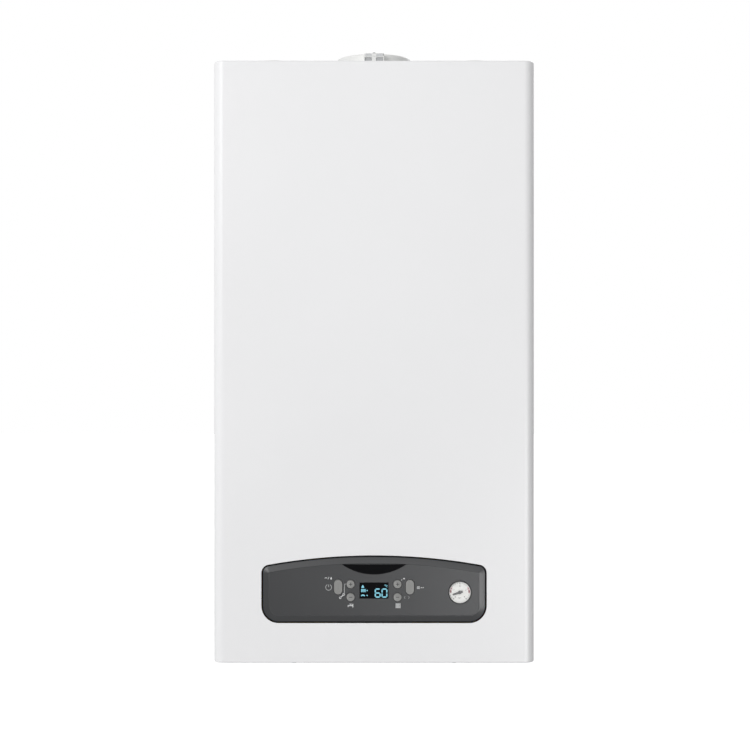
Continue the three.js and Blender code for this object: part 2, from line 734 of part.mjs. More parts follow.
function chamberBox() {
  const sheet = CHAMBER_SHEET;
  const shell = cut(
    block(-CHAMBER_HALF, CHAMBER_HALF, CHAMBER_FRONT, CHAMBER_REAR, CHAMBER_FLOOR, CHAMBER_TOP),
    block(
      -CHAMBER_HALF + sheet,
      CHAMBER_HALF - sheet,
      CHAMBER_FRONT - 1,
      CHAMBER_REAR - sheet,
      CHAMBER_FLOOR + sheet,
      CHAMBER_TOP - sheet,
    ),
  );
  const through = (radius, x, y, z, sides) => rodZ(radius, z - 2, z + 2, x, y, sides);
  const holes = [
    through(COLLAR_RADIUS + SHEET_CLEARANCE, 0, COLLAR_Y, CHAMBER_TOP, SIDES_LARGE),
    through(CAP_SPIGOT_RADIUS + SHEET_CLEARANCE, -CAP_X, CAP_Y, CHAMBER_TOP, SIDES_LARGE),
    through(CAP_SPIGOT_RADIUS + SHEET_CLEARANCE, CAP_X, CAP_Y, CHAMBER_TOP, SIDES_LARGE),
    through(PIPE_RADIUS + 0.5, -PIPE_X, COLLAR_Y, CHAMBER_FLOOR),
    through(PIPE_RADIUS + 0.5, PIPE_X, COLLAR_Y, CHAMBER_FLOOR),
    through(PIPE_RADIUS + 0.5, 0, MANIFOLD_Y, CHAMBER_FLOOR),
  ];
  const pins = [-1, 1].flatMap((side) => {
    const left = side * CLIP_X - CLIP_WIDTH / 2 - 2.4;
    const right = side * CLIP_X + CLIP_WIDTH / 2 + 2.4;
    const ear = (x) =>
      block(x, x + 2, CLIP_PIN_Y - 4, CLIP_PIN_Y + 4, CLIP_PIN_Z - 3, CHAMBER_FLOOR + sheet / 2);
    return [
      ear(left),
      ear(right - 2),
      rodX(CLIP_PIN_RADIUS, left + 1, right - 1, CLIP_PIN_Y, CLIP_PIN_Z, SIDES_SMALL),
    ];
  });
  return join(cut(shell, holes), pins);
}

// The lid of the chamber: a flat sheet with its side and lower edges turned back over the box.
function chamberCover() {
  const sheet = CHAMBER_SHEET;
  const inner = CHAMBER_HALF + SHEET_CLEARANCE;
  const outer = inner + sheet;
  const low = CHAMBER_FLOOR - SHEET_CLEARANCE;
  const rear = CHAMBER_FRONT + CHAMBER_COVER_RIM;
  const front = CHAMBER_FRONT - sheet;
  return join(
    block(-outer, outer, front, CHAMBER_FRONT, low - sheet, CHAMBER_TOP),
    block(-outer, -inner, front, rear, low - sheet, CHAMBER_TOP - 14),
    block(inner, outer, front, rear, low - sheet, CHAMBER_TOP - 14),
    block(-outer, outer, front, rear, low - sheet, low),
  );
}

// A spring clip: a barrel on its pin, an arm forward, and a tongue up the front of the chamber's cover.
function chamberClip() {
  const half = CLIP_WIDTH / 2;
  const sheet = 1.5;
  const inner = CHAMBER_FRONT - CHAMBER_SHEET - SHAFT_CLEARANCE - CLIP_PIN_Y;
  const armTop = CLIP_PIN_RADIUS + 1;
  return cut(
    join(
      rodX(CLIP_BARREL_RADIUS, -half, half, 0, 0, SIDES_SMALL),
      block(-half, half, inner - sheet, -2, armTop - sheet, armTop),
      block(-half, half, inner - sheet, inner, armTop - sheet, 26),
    ),
    rodX(CLIP_PIN_RADIUS + SHAFT_CLEARANCE, -half - 1, half + 1, 0, 0, SIDES_SMALL),
  );
}

// Blades across a frame that stands on two side plates.
function burner() {
  const halfX = STACK_HALF_X - 8;
  const halfY = STACK_HALF_Y - 8;
  const rail = 4;
  const post = 3;
  const blades = 13;
  const bladeHalf = 4;
  const pitch = (2 * (halfX - 8)) / (blades - 1);
  const legs = BURNER_TOP - CHAMBER_FLOOR - CHAMBER_SHEET;
  const frame = cut(
    block(-halfX - rail, halfX + rail, -halfY - rail, halfY + rail, -legs, 0),
    block(-halfX, halfX, -halfY, halfY, -legs - 1, 1),
    block(-halfX + post, halfX - post, -halfY - rail - 1, halfY + rail + 1, -legs - 1, -BURNER_HEIGHT),
  );
  const row = [];
  for (let i = 0; i < blades; i += 1) {
    const x = -halfX + 8 + i * pitch;
    row.push(block(x - bladeHalf, x + bladeHalf, -halfY - 1, halfY + 1, -BURNER_HEIGHT + 6, -3));
  }
  return join(frame, row);
}

function gasManifold() {
  const half = 7;
  const reach = 105;
  const nozzles = 13;
  const railFront = COLLAR_Y - STACK_HALF_Y + 4 - MANIFOLD_Y;
  const pitch = (2 * (STACK_HALF_X - 16)) / (nozzles - 1);
  const parts = [block(-reach, reach, -half, half, -half, half)];
  for (let i = 0; i < nozzles; i += 1) {
    const x = -(STACK_HALF_X - 16) + i * pitch;
    if (Math.abs(x) < reach - 6) parts.push(rodY(2.5, half - 1, half + 4, x, 0, 8));
  }
  for (const side of [-1, 1]) {
    const x = side * (reach - 3);
    parts.push(block(x - 3, x + 3, 0, railFront, -half, half));
  }
  return join(...parts);
}

function firebox() {
  const slotHalf = 32;
  const slotHeight = 14;
  return cut(
    block(-STACK_HALF_X, STACK_HALF_X, -STACK_HALF_Y, STACK_HALF_Y, 0, FIREBOX_HEIGHT),
    block(
      -STACK_HALF_X + FIREBOX_WALL,
      STACK_HALF_X - FIREBOX_WALL,
      -STACK_HALF_Y + FIREBOX_WALL,
      STACK_HALF_Y - FIREBOX_WALL,
      -1,
      FIREBOX_HEIGHT + 1,
    ),
    block(-slotHalf, slotHalf, -STACK_HALF_Y - 1, -STACK_HALF_Y + FIREBOX_WALL + 1, -1, slotHeight),
  );
}

// Two ceramic electrodes on one bracket, through the slot in the firebox's front wall.
function electrodes() {
  const rodsZ = 7;
  const front = -STACK_HALF_Y;
  const bracket = block(-38, 38, front - 1.5, front, 2, 24);
  const pairs = [-20, 20].flatMap((x) => [
    rodY(4, front - 14, front + FIREBOX_WALL + 4, x, rodsZ, SIDES_SMALL),
    rodY(1.3, front - 20, front + FIREBOX_WALL + 34, x, rodsZ, 8),
  ]);
  return join(bracket, ...pairs);
}

// Finned water tubes with their end headers.
function heatExchanger() {
  const halfX = STACK_HALF_X - EXCHANGER_INSET;
  const halfY = STACK_HALF_Y - 2;
  const fins = 8;
  const tubeRadius = 8;
  const tubeZ = EXCHANGER_HEIGHT / 2;
  const parts = [];
  for (let i = 0; i < fins; i += 1) {
    const x = -halfX + 8 + (i * 2 * (halfX - 8)) / (fins - 1);
    parts.push(block(x - 1.5, x + 1.5, -halfY, halfY, 6, EXCHANGER_HEIGHT - 6));
  }
  for (const y of [-42, 0, 42]) parts.push(rodX(tubeRadius, -halfX, halfX, y, tubeZ, 6));
  for (const side of [-1, 1]) {
    const inner = side * (halfX - 3);
    const outer = side * (halfX + 4);
    parts.push(block(Math.min(inner, outer), Math.max(inner, outer), -halfY, halfY, 0, EXCHANGER_HEIGHT));
  }
  const header = (x0, x1, y0, y1) => block(x0, x1, y0, y1, tubeZ - 10, tubeZ + 10);
  parts.push(header(-halfX - HEADER, -halfX - 1, -52, -4));
  parts.push(header(halfX + 1, halfX + HEADER, -10, 52));
  return join(...parts);
}

// The sheet hood over the heat exchanger, with a duct up the back to the fan's inlet.
function flueHood() {
  const sheet = 1.2;
  const ductHalf = 26;
  const ductFront = FAN_DEPTH / 2;
  const ductRear = ductFront + 30;
  const ductTop = FAN_Z + 34 - EXCHANGER_TOP;
  const corners = (inset, low, high) => {
    const points = [];
    const baseX = STACK_HALF_X - 1 - inset;
    const baseY = STACK_HALF_Y - 3 - inset;
    for (const x of [-1, 1]) {
      for (const y of [-1, 1]) points.push(new THREE.Vector3(x * baseX, y * baseY, low));
      points.push(new THREE.Vector3(FAN_X + x * (ductHalf - inset), ductFront + inset, high));
      points.push(new THREE.Vector3(FAN_X + x * (ductHalf - inset), ductRear - inset, high));
    }
    return new ConvexGeometry(points);
  };
  const duct = (inset, low, high) =>
    block(
      FAN_X - ductHalf + inset,
      FAN_X + ductHalf - inset,
      ductFront + inset,
      ductRear - inset,
      low,
      high,
    );
  return cut(
    join(corners(0, 0, HOOD_HEIGHT), duct(0, HOOD_HEIGHT - 8, ductTop)),
    corners(sheet, -0.01, HOOD_HEIGHT - sheet),
    duct(sheet, HOOD_HEIGHT - 12, ductTop - sheet),
    rodY(24, ductFront - 1, ductFront + sheet + 1, FAN_X, FAN_Z - EXCHANGER_TOP),
  );
}

function fanHousing() {
  const half = FAN_DEPTH / 2;
  const outletHalf = 25;
  const outletX = 5 - FAN_X;
  const top = FAN_OUTLET - FAN_Z;
  const inner = FAN_RADIUS - FAN_WALL;
  return cut(
    join(
      rodY(FAN_RADIUS, -half, half, 0, 0, SIDES_LARGE),
      block(outletX - outletHalf, outletX + outletHalf - 4, -half, half, 0, top - 2),
      rodZ(SPIGOT_RADIUS + 3, top - 4, top, -FAN_X, 0, SIDES_LARGE),
    ),
    rodY(inner, -half + FAN_WALL, half - FAN_WALL, 0, 0, SIDES_LARGE),
    block(
      outletX - outletHalf + FAN_WALL,
      outletX + outletHalf - 4 - FAN_WALL,
      -half + FAN_WALL,
      half - FAN_WALL,
      5,
      top - 4,
    ),
    rodZ(22, top - 6, top + 1, -FAN_X, 0),
    rodY(22, half - FAN_WALL - 1, half + 1, 0, 0),
    rodY(SHAFT_RADIUS + 2, -half - 1, -half + FAN_WALL + 1, 0, 0, SIDES_SMALL),
  );
}

// A wheel of flat blades between a disc and a ring, with its shaft towards the motor.
function bladedWheel(radius, depth, blades, shaftLength) {
  const disc = 2;
  const hub = 8;
  const bladeInner = radius * 0.62;
  const parts = [
    rodY(radius, 0, disc, 0, 0, SIDES_MEDIUM),
    rodY(hub, 0, depth * 0.5, 0, 0, SIDES_SMALL),
    rodY(SHAFT_RADIUS, -shaftLength, 1, 0, 0, SIDES_SMALL),
    cut(rodY(radius, depth - disc, depth, 0, 0, SIDES_MEDIUM), rodY(bladeInner, depth - 3, depth + 1, 0, 0)),
  ];
  for (let i = 0; i < blades; i += 1) {
    const blade = block(bladeInner, radius - 1, disc / 2, depth - disc / 2, -0.8, 0.8);
    parts.push(blade.rotateY((i * Math.PI * 2) / blades));
  }
  return join(...parts);
}

// A round motor whose bore, open at its rear face, carries a wheel's shaft.
const motor = (radius, length, flange, bore) =>
  cut(
    join(
      rodY(radius, -length, -1, 0, 0, SIDES_LARGE),
      rodY(flange, -5, 0, 0, 0, SIDES_LARGE),
      rodY(radius * 0.55, -length - 6, -length + 1, 0, 0),
    ),
    rodY(SHAFT_RADIUS + SHAFT_CLEARANCE, -bore, 1, 0, 0, SIDES_SMALL),
  );

// A round diaphragm switch on the chamber's left wall, with its two hose nozzles.
const airPressureSwitch = () =>
  join(
    rodX(26, 0, 18, 0, 0, SIDES_MEDIUM),
    rodX(12, 17, 24, 0, 0),
    rodX(2.5, 17, 32, 16, 0, 8),
    rodX(2.5, 17, 32, -16, 0, 8),
  );

const overheatThermostat = () =>
  join(rodX(7, 0, 4, 0, 0, SIDES_SMALL), rodX(4.5, 3, 9, 0, 0, SIDES_SMALL));

// ---------------------------------------------------------------- water and gas groups

// A connection stub: a threaded tube down through the tray, with a collar that rests on the tray.
function stub(x, radius) {
  return join(
    rodZ(radius, -STUB_DROP, BAR_FLOOR + 2, x, STUB_Y),
    rodZ(radius + STUB_COLLAR, TRAY_TOP, BAR_FLOOR + 1, x, STUB_Y, 6),
  );
}

const stubBore = (x, radius) => rodZ(radius - STUB_WALL, -STUB_DROP - 1, BAR_FLOOR + 12, x, STUB_Y);

function flowGroup() {
  const barLeft = -PIPE_X - 12;
  const body = join(
    block(barLeft, -52, STUB_Y - BAR_HALF_DEPTH, STUB_Y + BAR_HALF_DEPTH, BAR_FLOOR, BAR_TOP),
    stub(STUB_X.flow, STUB_LARGE),
    stub(STUB_X.hot, STUB_SMALL),
    rodZ(18, BAR_TOP - 1, DIVERTER_TOP, DIVERTER_X, STUB_Y),
    block(
      -EXCHANGER_PLATE_HALF + 2,
      -EXCHANGER_PLATE_HALF + 2 + 2 * PORT_ARM,
      STUB_Y + BAR_HALF_DEPTH - 1,
      -EXCHANGER_PLATE_FRONT,
      BAR_FLOOR + 16,
      EXCHANGER_PLATE_TOP - 6,
    ),
  );
  return cut(
    body,
    stubBore(STUB_X.flow, STUB_LARGE),
    stubBore(STUB_X.hot, STUB_SMALL),
    rodZ(
      SHAFT_RADIUS + SHAFT_CLEARANCE,
      DIVERTER_TOP - 30,
      DIVERTER_TOP + 1,
      DIVERTER_X,
      STUB_Y,
      SIDES_SMALL,
    ),
  );
}

const diverterStem = () => join(rodZ(SHAFT_RADIUS, -20, 18, 0, 0, SIDES_SMALL), rodZ(2, 17, 20, 0, 0, 8));

const diverterActuator = () =>
  cut(
    join(block(-20, 20, -20, 20, 0, 44), rodZ(12, 43, 52, 0, 0)),
    rodZ(SHAFT_RADIUS + SHAFT_CLEARANCE, -1, 32, 0, 0, SIDES_SMALL),
  );

function returnGroup() {
  const barRight = PIPE_X + 15;
  const front = STUB_Y - BAR_HALF_DEPTH;
  const body = join(
    block(52, barRight, front, STUB_Y + BAR_HALF_DEPTH, BAR_FLOOR, BAR_TOP),
    stub(STUB_X.cold, STUB_SMALL),
    stub(STUB_X.back, STUB_LARGE),
    rodZ(16, BAR_TOP - 1, PUMP_Z - PUMP_RADIUS - 6, PUMP_X, STUB_Y),
    block(
      EXCHANGER_PLATE_HALF - 2 - 2 * PORT_ARM,
      EXCHANGER_PLATE_HALF - 2,
      STUB_Y + BAR_HALF_DEPTH - 1,
      -EXCHANGER_PLATE_FRONT,
      BAR_FLOOR + 16,
      EXCHANGER_PLATE_TOP - 6,
    ),
    rodY(11, front - VALVE_LENGTH, front + 1, VALVE_X, VALVE_Z),
    block(TAP_X - 9, TAP_X + 9, TAP_Y - 9, front + 1, BAR_FLOOR, BAR_FLOOR + 20),
  );
  return cut(
    body,
    stubBore(STUB_X.cold, STUB_SMALL),
    stubBore(STUB_X.back, STUB_LARGE),
    rodY(
      SHAFT_RADIUS + SHAFT_CLEARANCE,
      front - VALVE_LENGTH - 1,
      front - 8,
      VALVE_X,
      VALVE_Z,
      SIDES_SMALL,
    ),
    rodZ(TAP_STEM_RADIUS + SHAFT_CLEARANCE, BAR_FLOOR - 1, BAR_FLOOR + 14, TAP_X, TAP_Y, SIDES_SMALL),
  );
}

// A ribbed knob about +Y: its stem runs back into a bore.
function knobBody(radius, length, stem, ribs) {
  const parts = [
    rodY(radius - 1.5, -length, 0, 0, 0, SIDES_MEDIUM),
    rodY(SHAFT_RADIUS, -1, stem, 0, 0, SIDES_SMALL),
  ];
  for (let i = 0; i < ribs; i += 1) {
    const rib = block(radius - 4, radius, -length, 0, -1.5, 1.5);
    parts.push(rib.rotateY((i * Math.PI * 2) / ribs));
  }
  return parts;
}

const safetyValveKnob = () => join(...knobBody(KNOB_RADIUS, 18, 16, 8));

const fillingTapKnob = () =>
  join(...knobBody(KNOB_RADIUS, 14, BAR_FLOOR + 16, 6).map((shape) => shape.rotateX(Math.PI / 2)));

// Pressed plates stacked from front to back, each a little proud of the seams between them.
function plateHeatExchanger() {
  const half = EXCHANGER_PLATE_HALF;
  const plates = 5;
  const pitch = EXCHANGER_PLATE_THICK / plates;
  const outline = (inset) =>
    roundedRectangle(
      -half + inset,
      half - inset,
      EXCHANGER_PLATE_FLOOR + inset,
      EXCHANGER_PLATE_TOP - inset,
      12 - inset,
    );
  const front = -EXCHANGER_PLATE_FRONT;
  const parts = [plate(outline(1.5), front + 1, front + EXCHANGER_PLATE_THICK - 1, 2)];
  for (let i = 0; i < plates; i += 1) {
    const near = front + i * pitch;
    parts.push(plate(outline(0), near, near + pitch * 0.6, 2));
  }
  return join(...parts);
}

// The pump's volute: an open-fronted round chamber with its inlet below and its outlet above.
function pumpHousing() {
  return cut(
    join(
      rodY(PUMP_RADIUS, PUMP_FRONT, PUMP_REAR, 0, 0, SIDES_LARGE),
      rodZ(15, -PUMP_RADIUS - 6, -PUMP_RADIUS + 12, 0, STUB_Y),
      rodZ(12, PUMP_RADIUS - 16, PUMP_RADIUS + 8, OUTLET_X, STUB_Y),
      block(-OUTLET_X - 14, -OUTLET_X + 14, STUB_Y - 14, STUB_Y + 14, PUMP_RADIUS - 30, PUMP_RADIUS + 2),
    ),
    rodY(PUMP_RADIUS - 8, PUMP_FRONT - 1, PUMP_REAR - 4, 0, 0, SIDES_LARGE),
  );
}

const airVent = () =>
  join(rodZ(13, 0, 50, 0, 0), rodZ(7, 49, 56, 0, 0, SIDES_SMALL), rodX(2.5, 0, 20, 0, 44, 8));

function gasValve() {
  const top = GAS_VALVE_FLOOR + GAS_VALVE_HEIGHT;
  const body = join(
    block(-38, 38, STUB_Y - 32, STUB_Y + 22, GAS_VALVE_FLOOR, top - 8),
    rodZ(15, top - 9, top, 0, STUB_Y),
    rodZ(STUB_LARGE, -STUB_DROP, GAS_VALVE_FLOOR + 1, STUB_X.gas, STUB_Y),
    rodZ(STUB_LARGE + STUB_COLLAR, TRAY_TOP, BAR_FLOOR + 1, STUB_X.gas, STUB_Y, 6),
    [-18, 18].map((x) => rodY(14, STUB_Y - 60, STUB_Y - 31, x, GAS_VALVE_FLOOR + 34)),
  );
  return cut(body, stubBore(STUB_X.gas, STUB_LARGE));
}

const gasPipe = () =>
  pipe(
    [
      [0, STUB_Y, GAS_VALVE_FLOOR + GAS_VALVE_HEIGHT],
      [0, STUB_Y, GAS_VALVE_FLOOR + GAS_VALVE_HEIGHT + 34],
      [0, MANIFOLD_Y, GAS_VALVE_FLOOR + GAS_VALVE_HEIGHT + 34],
      [0, MANIFOLD_Y, MANIFOLD_Z - 7],
    ],
    PIPE_RADIUS,
    PIPE_BEND,
  );

const flowPipe = () =>
  pipe(
    [
      [-HEADER_END - PIPE_GAP, COLLAR_Y - 28, HEADER_Z],
      [-PIPE_X, COLLAR_Y - 28, HEADER_Z],
      [-PIPE_X, COLLAR_Y - 28, HEADER_Z - 60],
      [-PIPE_X, COLLAR_Y, HEADER_Z - 60],
      [-PIPE_X, COLLAR_Y, CHAMBER_FLOOR - 90],
      [-PIPE_X, STUB_Y, CHAMBER_FLOOR - 90],
      [-PIPE_X, STUB_Y, BAR_TOP],
    ],
    PIPE_RADIUS,
    PIPE_TIGHT_BEND,
  );

const returnPipe = () =>
  pipe(
    [
      [PUMP_X + OUTLET_X, STUB_Y, PUMP_Z + PUMP_RADIUS + 8],
      [PUMP_X + OUTLET_X, STUB_Y, PUMP_Z + PUMP_RADIUS + 45],
      [PUMP_X + OUTLET_X, COLLAR_Y, PUMP_Z + PUMP_RADIUS + 45],
      [PUMP_X + OUTLET_X, COLLAR_Y, PUMP_Z + PUMP_RADIUS + 82],
      [PIPE_X, COLLAR_Y, PUMP_Z + PUMP_RADIUS + 82],
      [PIPE_X, COLLAR_Y, HEADER_Z],
      [HEADER_END + PIPE_GAP, COLLAR_Y, HEADER_Z],
    ],
    PIPE_RADIUS,
    PIPE_TIGHT_BEND,
  );

// A flat vessel against the frame, stepped in at both faces, with its own pipe down to the return group.
function expansionVessel() {
  const outline = (inset) =>
    roundedRectangle(
      -VESSEL_HALF + inset,
      VESSEL_HALF - inset,
      VESSEL_FLOOR + inset,
      VESSEL_TOP - inset,
      40 - inset,
    );
  const rear = FRAME_FRONT;
  const front = rear - VESSEL_THICK;
  const step = 9;
  return join(
    plate(outline(step), front, rear, 3),
    plate(outline(0), front + step, rear - step, 3),
    rodZ(7, VESSEL_FLOOR - 8, VESSEL_FLOOR + 4, VESSEL_PORT_X, VESSEL_PORT_Y),
    vesselPipe(),
  );
}

const vesselPipe = () =>
  pipe(
    [
      [VESSEL_PORT_X, VESSEL_PORT_Y, VESSEL_FLOOR - 6],
      [VESSEL_PORT_X, VESSEL_PORT_Y, VESSEL_FLOOR - 40],
      [PIPE_X, VESSEL_PORT_Y, VESSEL_FLOOR - 40],
      [PIPE_X, VESSEL_PORT_Y, VALVE_Z],
      [PIPE_X, STUB_Y + BAR_HALF_DEPTH, VALVE_Z],
    ],
    5,
    PIPE_TIGHT_BEND,
  );

// ---------------------------------------------------------------- control panel

const stadium = (grow) =>
  roundedRectangle(
    -OBLONG_WIDTH / 2 - grow,
    OBLONG_WIDTH / 2 + grow,
    -OBLONG_LENGTH / 2 - grow,
    OBLONG_LENGTH / 2 + grow,
    OBLONG_WIDTH / 2 + grow - 0.01,
  );

// The lens-shaped inlay: a straight top edge over an arc.
function inlayOutline(grow) {
  const drop = INLAY_TOP - INLAY_BOTTOM + grow;
  const half = INLAY_HALF + grow;
  const radius = (half ** 2 + drop ** 2) / (2 * drop);
  const sweep = Math.asin(half / radius);
  const outline = new THREE.Shape();
  outline.absarc(0, INLAY_TOP - drop + radius, radius, -Math.PI / 2 - sweep, -Math.PI / 2 + sweep);
  outline.lineTo(half, INLAY_TOP + grow);
  outline.lineTo(-half, INLAY_TOP + grow);
  return outline;
}

function fascia() {
  const ahead = FACE_FRONT - 1;
  const behind = FASCIA_REAR + 1;
  const holes = [
    rodY(GAUGE_HOLE, ahead, behind, GAUGE_X, GAUGE_Z, SIDES_LARGE),
    block(
      -DISPLAY_WIDTH / 2 - FACE_GAP,
      DISPLAY_WIDTH / 2 + FACE_GAP,
      ahead,
      behind,
      DISPLAY_Z - DISPLAY_HEIGHT / 2 - FACE_GAP,
      DISPLAY_Z + DISPLAY_HEIGHT / 2 + FACE_GAP,
    ),
    plate(inlayOutline(FACE_GAP), FACE_FRONT - 1, INLAY_FRONT + INLAY_THICK),
  ];
  for (const side of [-1, 1]) {
    for (const z of BUTTON_Z) {
      holes.push(rodY(BUTTON_RADIUS + BUTTON_CLEARANCE, ahead, behind, side * BUTTON_X, z));
    }
    holes.push(
      plate(stadium(BUTTON_CLEARANCE), ahead, behind, 3).translate(side * OBLONG_X, 0, OBLONG_Z),
    );
  }
  return cut(
    join(
      plate(fasciaOutline(0), RIM_FRONT, FASCIA_REAR),
      plate(fasciaOutline(FACE_INSET), FACE_FRONT, RIM_FRONT + 0.5),
    ),
    holes,
  );
}

// The box behind the fascia: open at the front, with posts for the board and a pivot pin at each end.
function controlBox() {
  const shell = cut(
    block(-BOX_HALF, BOX_HALF, FASCIA_REAR, BOX_REAR, BOX_FLOOR, BOX_TOP),
    block(
      -BOX_HALF + BOX_WALL,
      BOX_HALF - BOX_WALL,
      FASCIA_REAR - 1,
      BOX_REAR - BOX_WALL,
      BOX_FLOOR + BOX_WALL,
      BOX_TOP - BOX_WALL,
    ),
  );
  const posts = [-80, 66].flatMap((x) =>
    [BOARD_LOW + 5, BOARD_HIGH - 5].map((z) =>
      rodY(3, BOARD_FRONT + BOARD_THICK, BOX_REAR - BOX_WALL / 2, x, z, 8),
    ),
  );
  const pivots = [-1, 1].flatMap((side) => {
    const near = side * 121;
    const far = side * 124;
    const tip = side * (BRACKET_INNER + BRACKET_THICK + 1.5);
    return [
      block(Math.min(near, far), Math.max(near, far), TILT_Y - 0.2, TILT_Y + 9, TILT_Z, BOX_FLOOR + 1),
      rodX(TILT_PIN_RADIUS, Math.min(near, tip), Math.max(near, tip), TILT_Y, TILT_Z, SIDES_SMALL),
    ];
  });
  return join(shell, posts, pivots);
}

function circuitBoard() {
  const switchTip = FLANGE_FRONT + FLANGE_THICK + BUTTON_TRAVEL + 0.6;
  const parts = [block(-95, 80, BOARD_FRONT, BOARD_FRONT + BOARD_THICK, BOARD_LOW, BOARD_HIGH)];
  for (const side of [-1, 1]) {
    for (const z of BUTTON_Z) parts.push(rodY(2.5, switchTip, BOARD_FRONT + 0.5, side * BUTTON_X, z, 8));
    parts.push(rodY(2.5, switchTip, BOARD_FRONT + 0.5, side * OBLONG_X, OBLONG_Z, 8));
  }
  const rear = BOARD_FRONT + BOARD_THICK;
  parts.push(block(-50, -20, rear - 0.5, rear + 14, 66, 96));
  parts.push(block(10, 40, rear - 0.5, rear + 10, 64, 84));
  return join(...parts);
}

const display = () =>
  block(
    -DISPLAY_WIDTH / 2,
    DISPLAY_WIDTH / 2,
    FACE_FRONT + 0.2,
    BOARD_FRONT,
    -DISPLAY_HEIGHT / 2,
    DISPLAY_HEIGHT / 2,
  );

// Buttons pass through the fascia and are kept by a flange behind it.
const roundButton = () =>
  join(
    rodY(BUTTON_RADIUS, FACE_FRONT - BUTTON_PROUD, FLANGE_FRONT + 0.5, 0, 0),
    rodY(BUTTON_RADIUS + BUTTON_FLANGE, FLANGE_FRONT, FLANGE_FRONT + FLANGE_THICK, 0, 0),
  );

const oblongButton = () =>
  join(
    plate(stadium(0), FACE_FRONT - BUTTON_PROUD, FLANGE_FRONT + 0.5, 3),
    plate(stadium(BUTTON_FLANGE), FLANGE_FRONT, FLANGE_FRONT + FLANGE_THICK, 3),
  );

// The gauge's case, with its dial sunk inside a ring that stands in the fascia's hole.
function gaugeBody() {
  return join(
    cut(
      join(
        rodY(GAUGE_RADIUS, FACE_FRONT - 0.3, FASCIA_REAR + 1, 0, 0, SIDES_LARGE),
        rodY(GAUGE_CASE_RADIUS, FASCIA_REAR, BOX_REAR - BOX_WALL - 4, 0, 0, SIDES_LARGE),
      ),
      rodY(GAUGE_RADIUS - GAUGE_RING, FACE_FRONT - 1, DIAL_FRONT, 0, 0, SIDES_LARGE),
    ),
    rodY(SPINDLE_RADIUS, NEEDLE_FRONT - 0.2, DIAL_FRONT + 0.5, 0, 0, SIDES_SMALL),
    rodY(5, BOX_REAR - BOX_WALL - 5, BOX_REAR - BOX_WALL, 0, 0, SIDES_SMALL),
  );
}

const gaugeLens = () =>
  rodY(GAUGE_RADIUS - GAUGE_RING - 0.3, FACE_FRONT - 0.3, FACE_FRONT + 0.3, 0, 0, SIDES_LARGE);

// The needle lies along +X here; its mesh is turned to the rest place, against the empty stop.
function gaugeNeedle() {
  const rear = NEEDLE_FRONT + NEEDLE_THICK;
  const blade = new THREE.Shape();
  blade.moveTo(-NEEDLE_TAIL, -0.7);
  blade.lineTo(NEEDLE_LENGTH, -0.25);
  blade.lineTo(NEEDLE_LENGTH, 0.25);
  blade.lineTo(-NEEDLE_TAIL, 0.7);
  return cut(
    join(plate(blade, NEEDLE_FRONT, rear), rodY(2.2, NEEDLE_FRONT, rear + 0.3, 0, 0, SIDES_SMALL)),
    rodY(SPINDLE_RADIUS + SHAFT_CLEARANCE, NEEDLE_FRONT - 1, rear + 2, 0, 0, SIDES_SMALL),
  );
}

// ---------------------------------------------------------------- assembly

add("casing", "front_cover", frontCover(), WHITE_PAINT);
add("casing", "cover_screw_left", coverScrew(), STEEL, -SCREW_X, SCREW_Y);
add("casing", "cover_screw_right", coverScrew(), STEEL, SCREW_X, SCREW_Y);
add("casing", "side_panel_left", sidePanel(-1), WHITE_PAINT);
add("casing", "side_panel_right", sidePanel(1), WHITE_PAINT);
add("casing", "top_panel", topPanel(), ZINC_SHEET);
add("casing", "bottom_tray", bottomTray(), ZINC_SHEET);
add("casing", "back_frame", backFrame(), ZINC_SHEET);
add("casing", "wall_rail", wallRail(), ZINC_SHEET);

add("flue", "flue_collar", flueCollar(), WHITE_PLASTIC, 0, COLLAR_Y, PANEL_TOP);
add("flue", "sampling_cap", samplingCap(), WHITE_PLASTIC, 0, COLLAR_Y, PANEL_TOP);
add("flue", "sampling_screw", samplingScrew(), STEEL, 0, COLLAR_Y, PANEL_TOP);
add("flue", "flue_spigot", flueSpigot(), CAST_ALUMINIUM, 0, COLLAR_Y, FAN_OUTLET);
add("flue", "air_cap_left", airCap(), WHITE_PLASTIC, -CAP_X, CAP_Y, PANEL_TOP);
add("flue", "air_cap_right", airCap(), WHITE_PLASTIC, CAP_X, CAP_Y, PANEL_TOP);

add("chamber", "chamber_box", chamberBox(), ZINC_SHEET);
add("chamber", "chamber_cover", chamberCover(), ZINC_SHEET);
add("chamber", "chamber_clip_left", chamberClip(), STEEL, -CLIP_X, CLIP_PIN_Y, CLIP_PIN_Z);
add("chamber", "chamber_clip_right", chamberClip(), STEEL, CLIP_X, CLIP_PIN_Y, CLIP_PIN_Z);
add("chamber", "burner", burner(), STEEL, 0, COLLAR_Y, BURNER_TOP);
add("chamber", "gas_manifold", gasManifold(), STEEL, 0, MANIFOLD_Y, MANIFOLD_Z);
add("chamber", "firebox", firebox(), CERAMIC_FIBRE, 0, COLLAR_Y, BURNER_TOP);
add("chamber", "electrodes", electrodes(), WHITE_PLASTIC, 0, COLLAR_Y, BURNER_TOP);
add("chamber", "heat_exchanger", heatExchanger(), COPPER, 0, COLLAR_Y, FIREBOX_TOP);
add("chamber", "flue_hood", flueHood(), ZINC_SHEET, 0, COLLAR_Y, EXCHANGER_TOP);
add("chamber", "fan_housing", fanHousing(), CAST_ALUMINIUM, FAN_X, COLLAR_Y, FAN_Z);
const fanWheel = bladedWheel(FAN_WHEEL_RADIUS, 38, FAN_BLADES, 18);
add("chamber", "fan_wheel", fanWheel, STEEL, FAN_X, FAN_FRONT + WHEEL_GAP, FAN_Z);
add("chamber", "fan_motor", motor(27, 34, 30, 16), BLACK_PLASTIC, FAN_X, FAN_FRONT, FAN_Z);
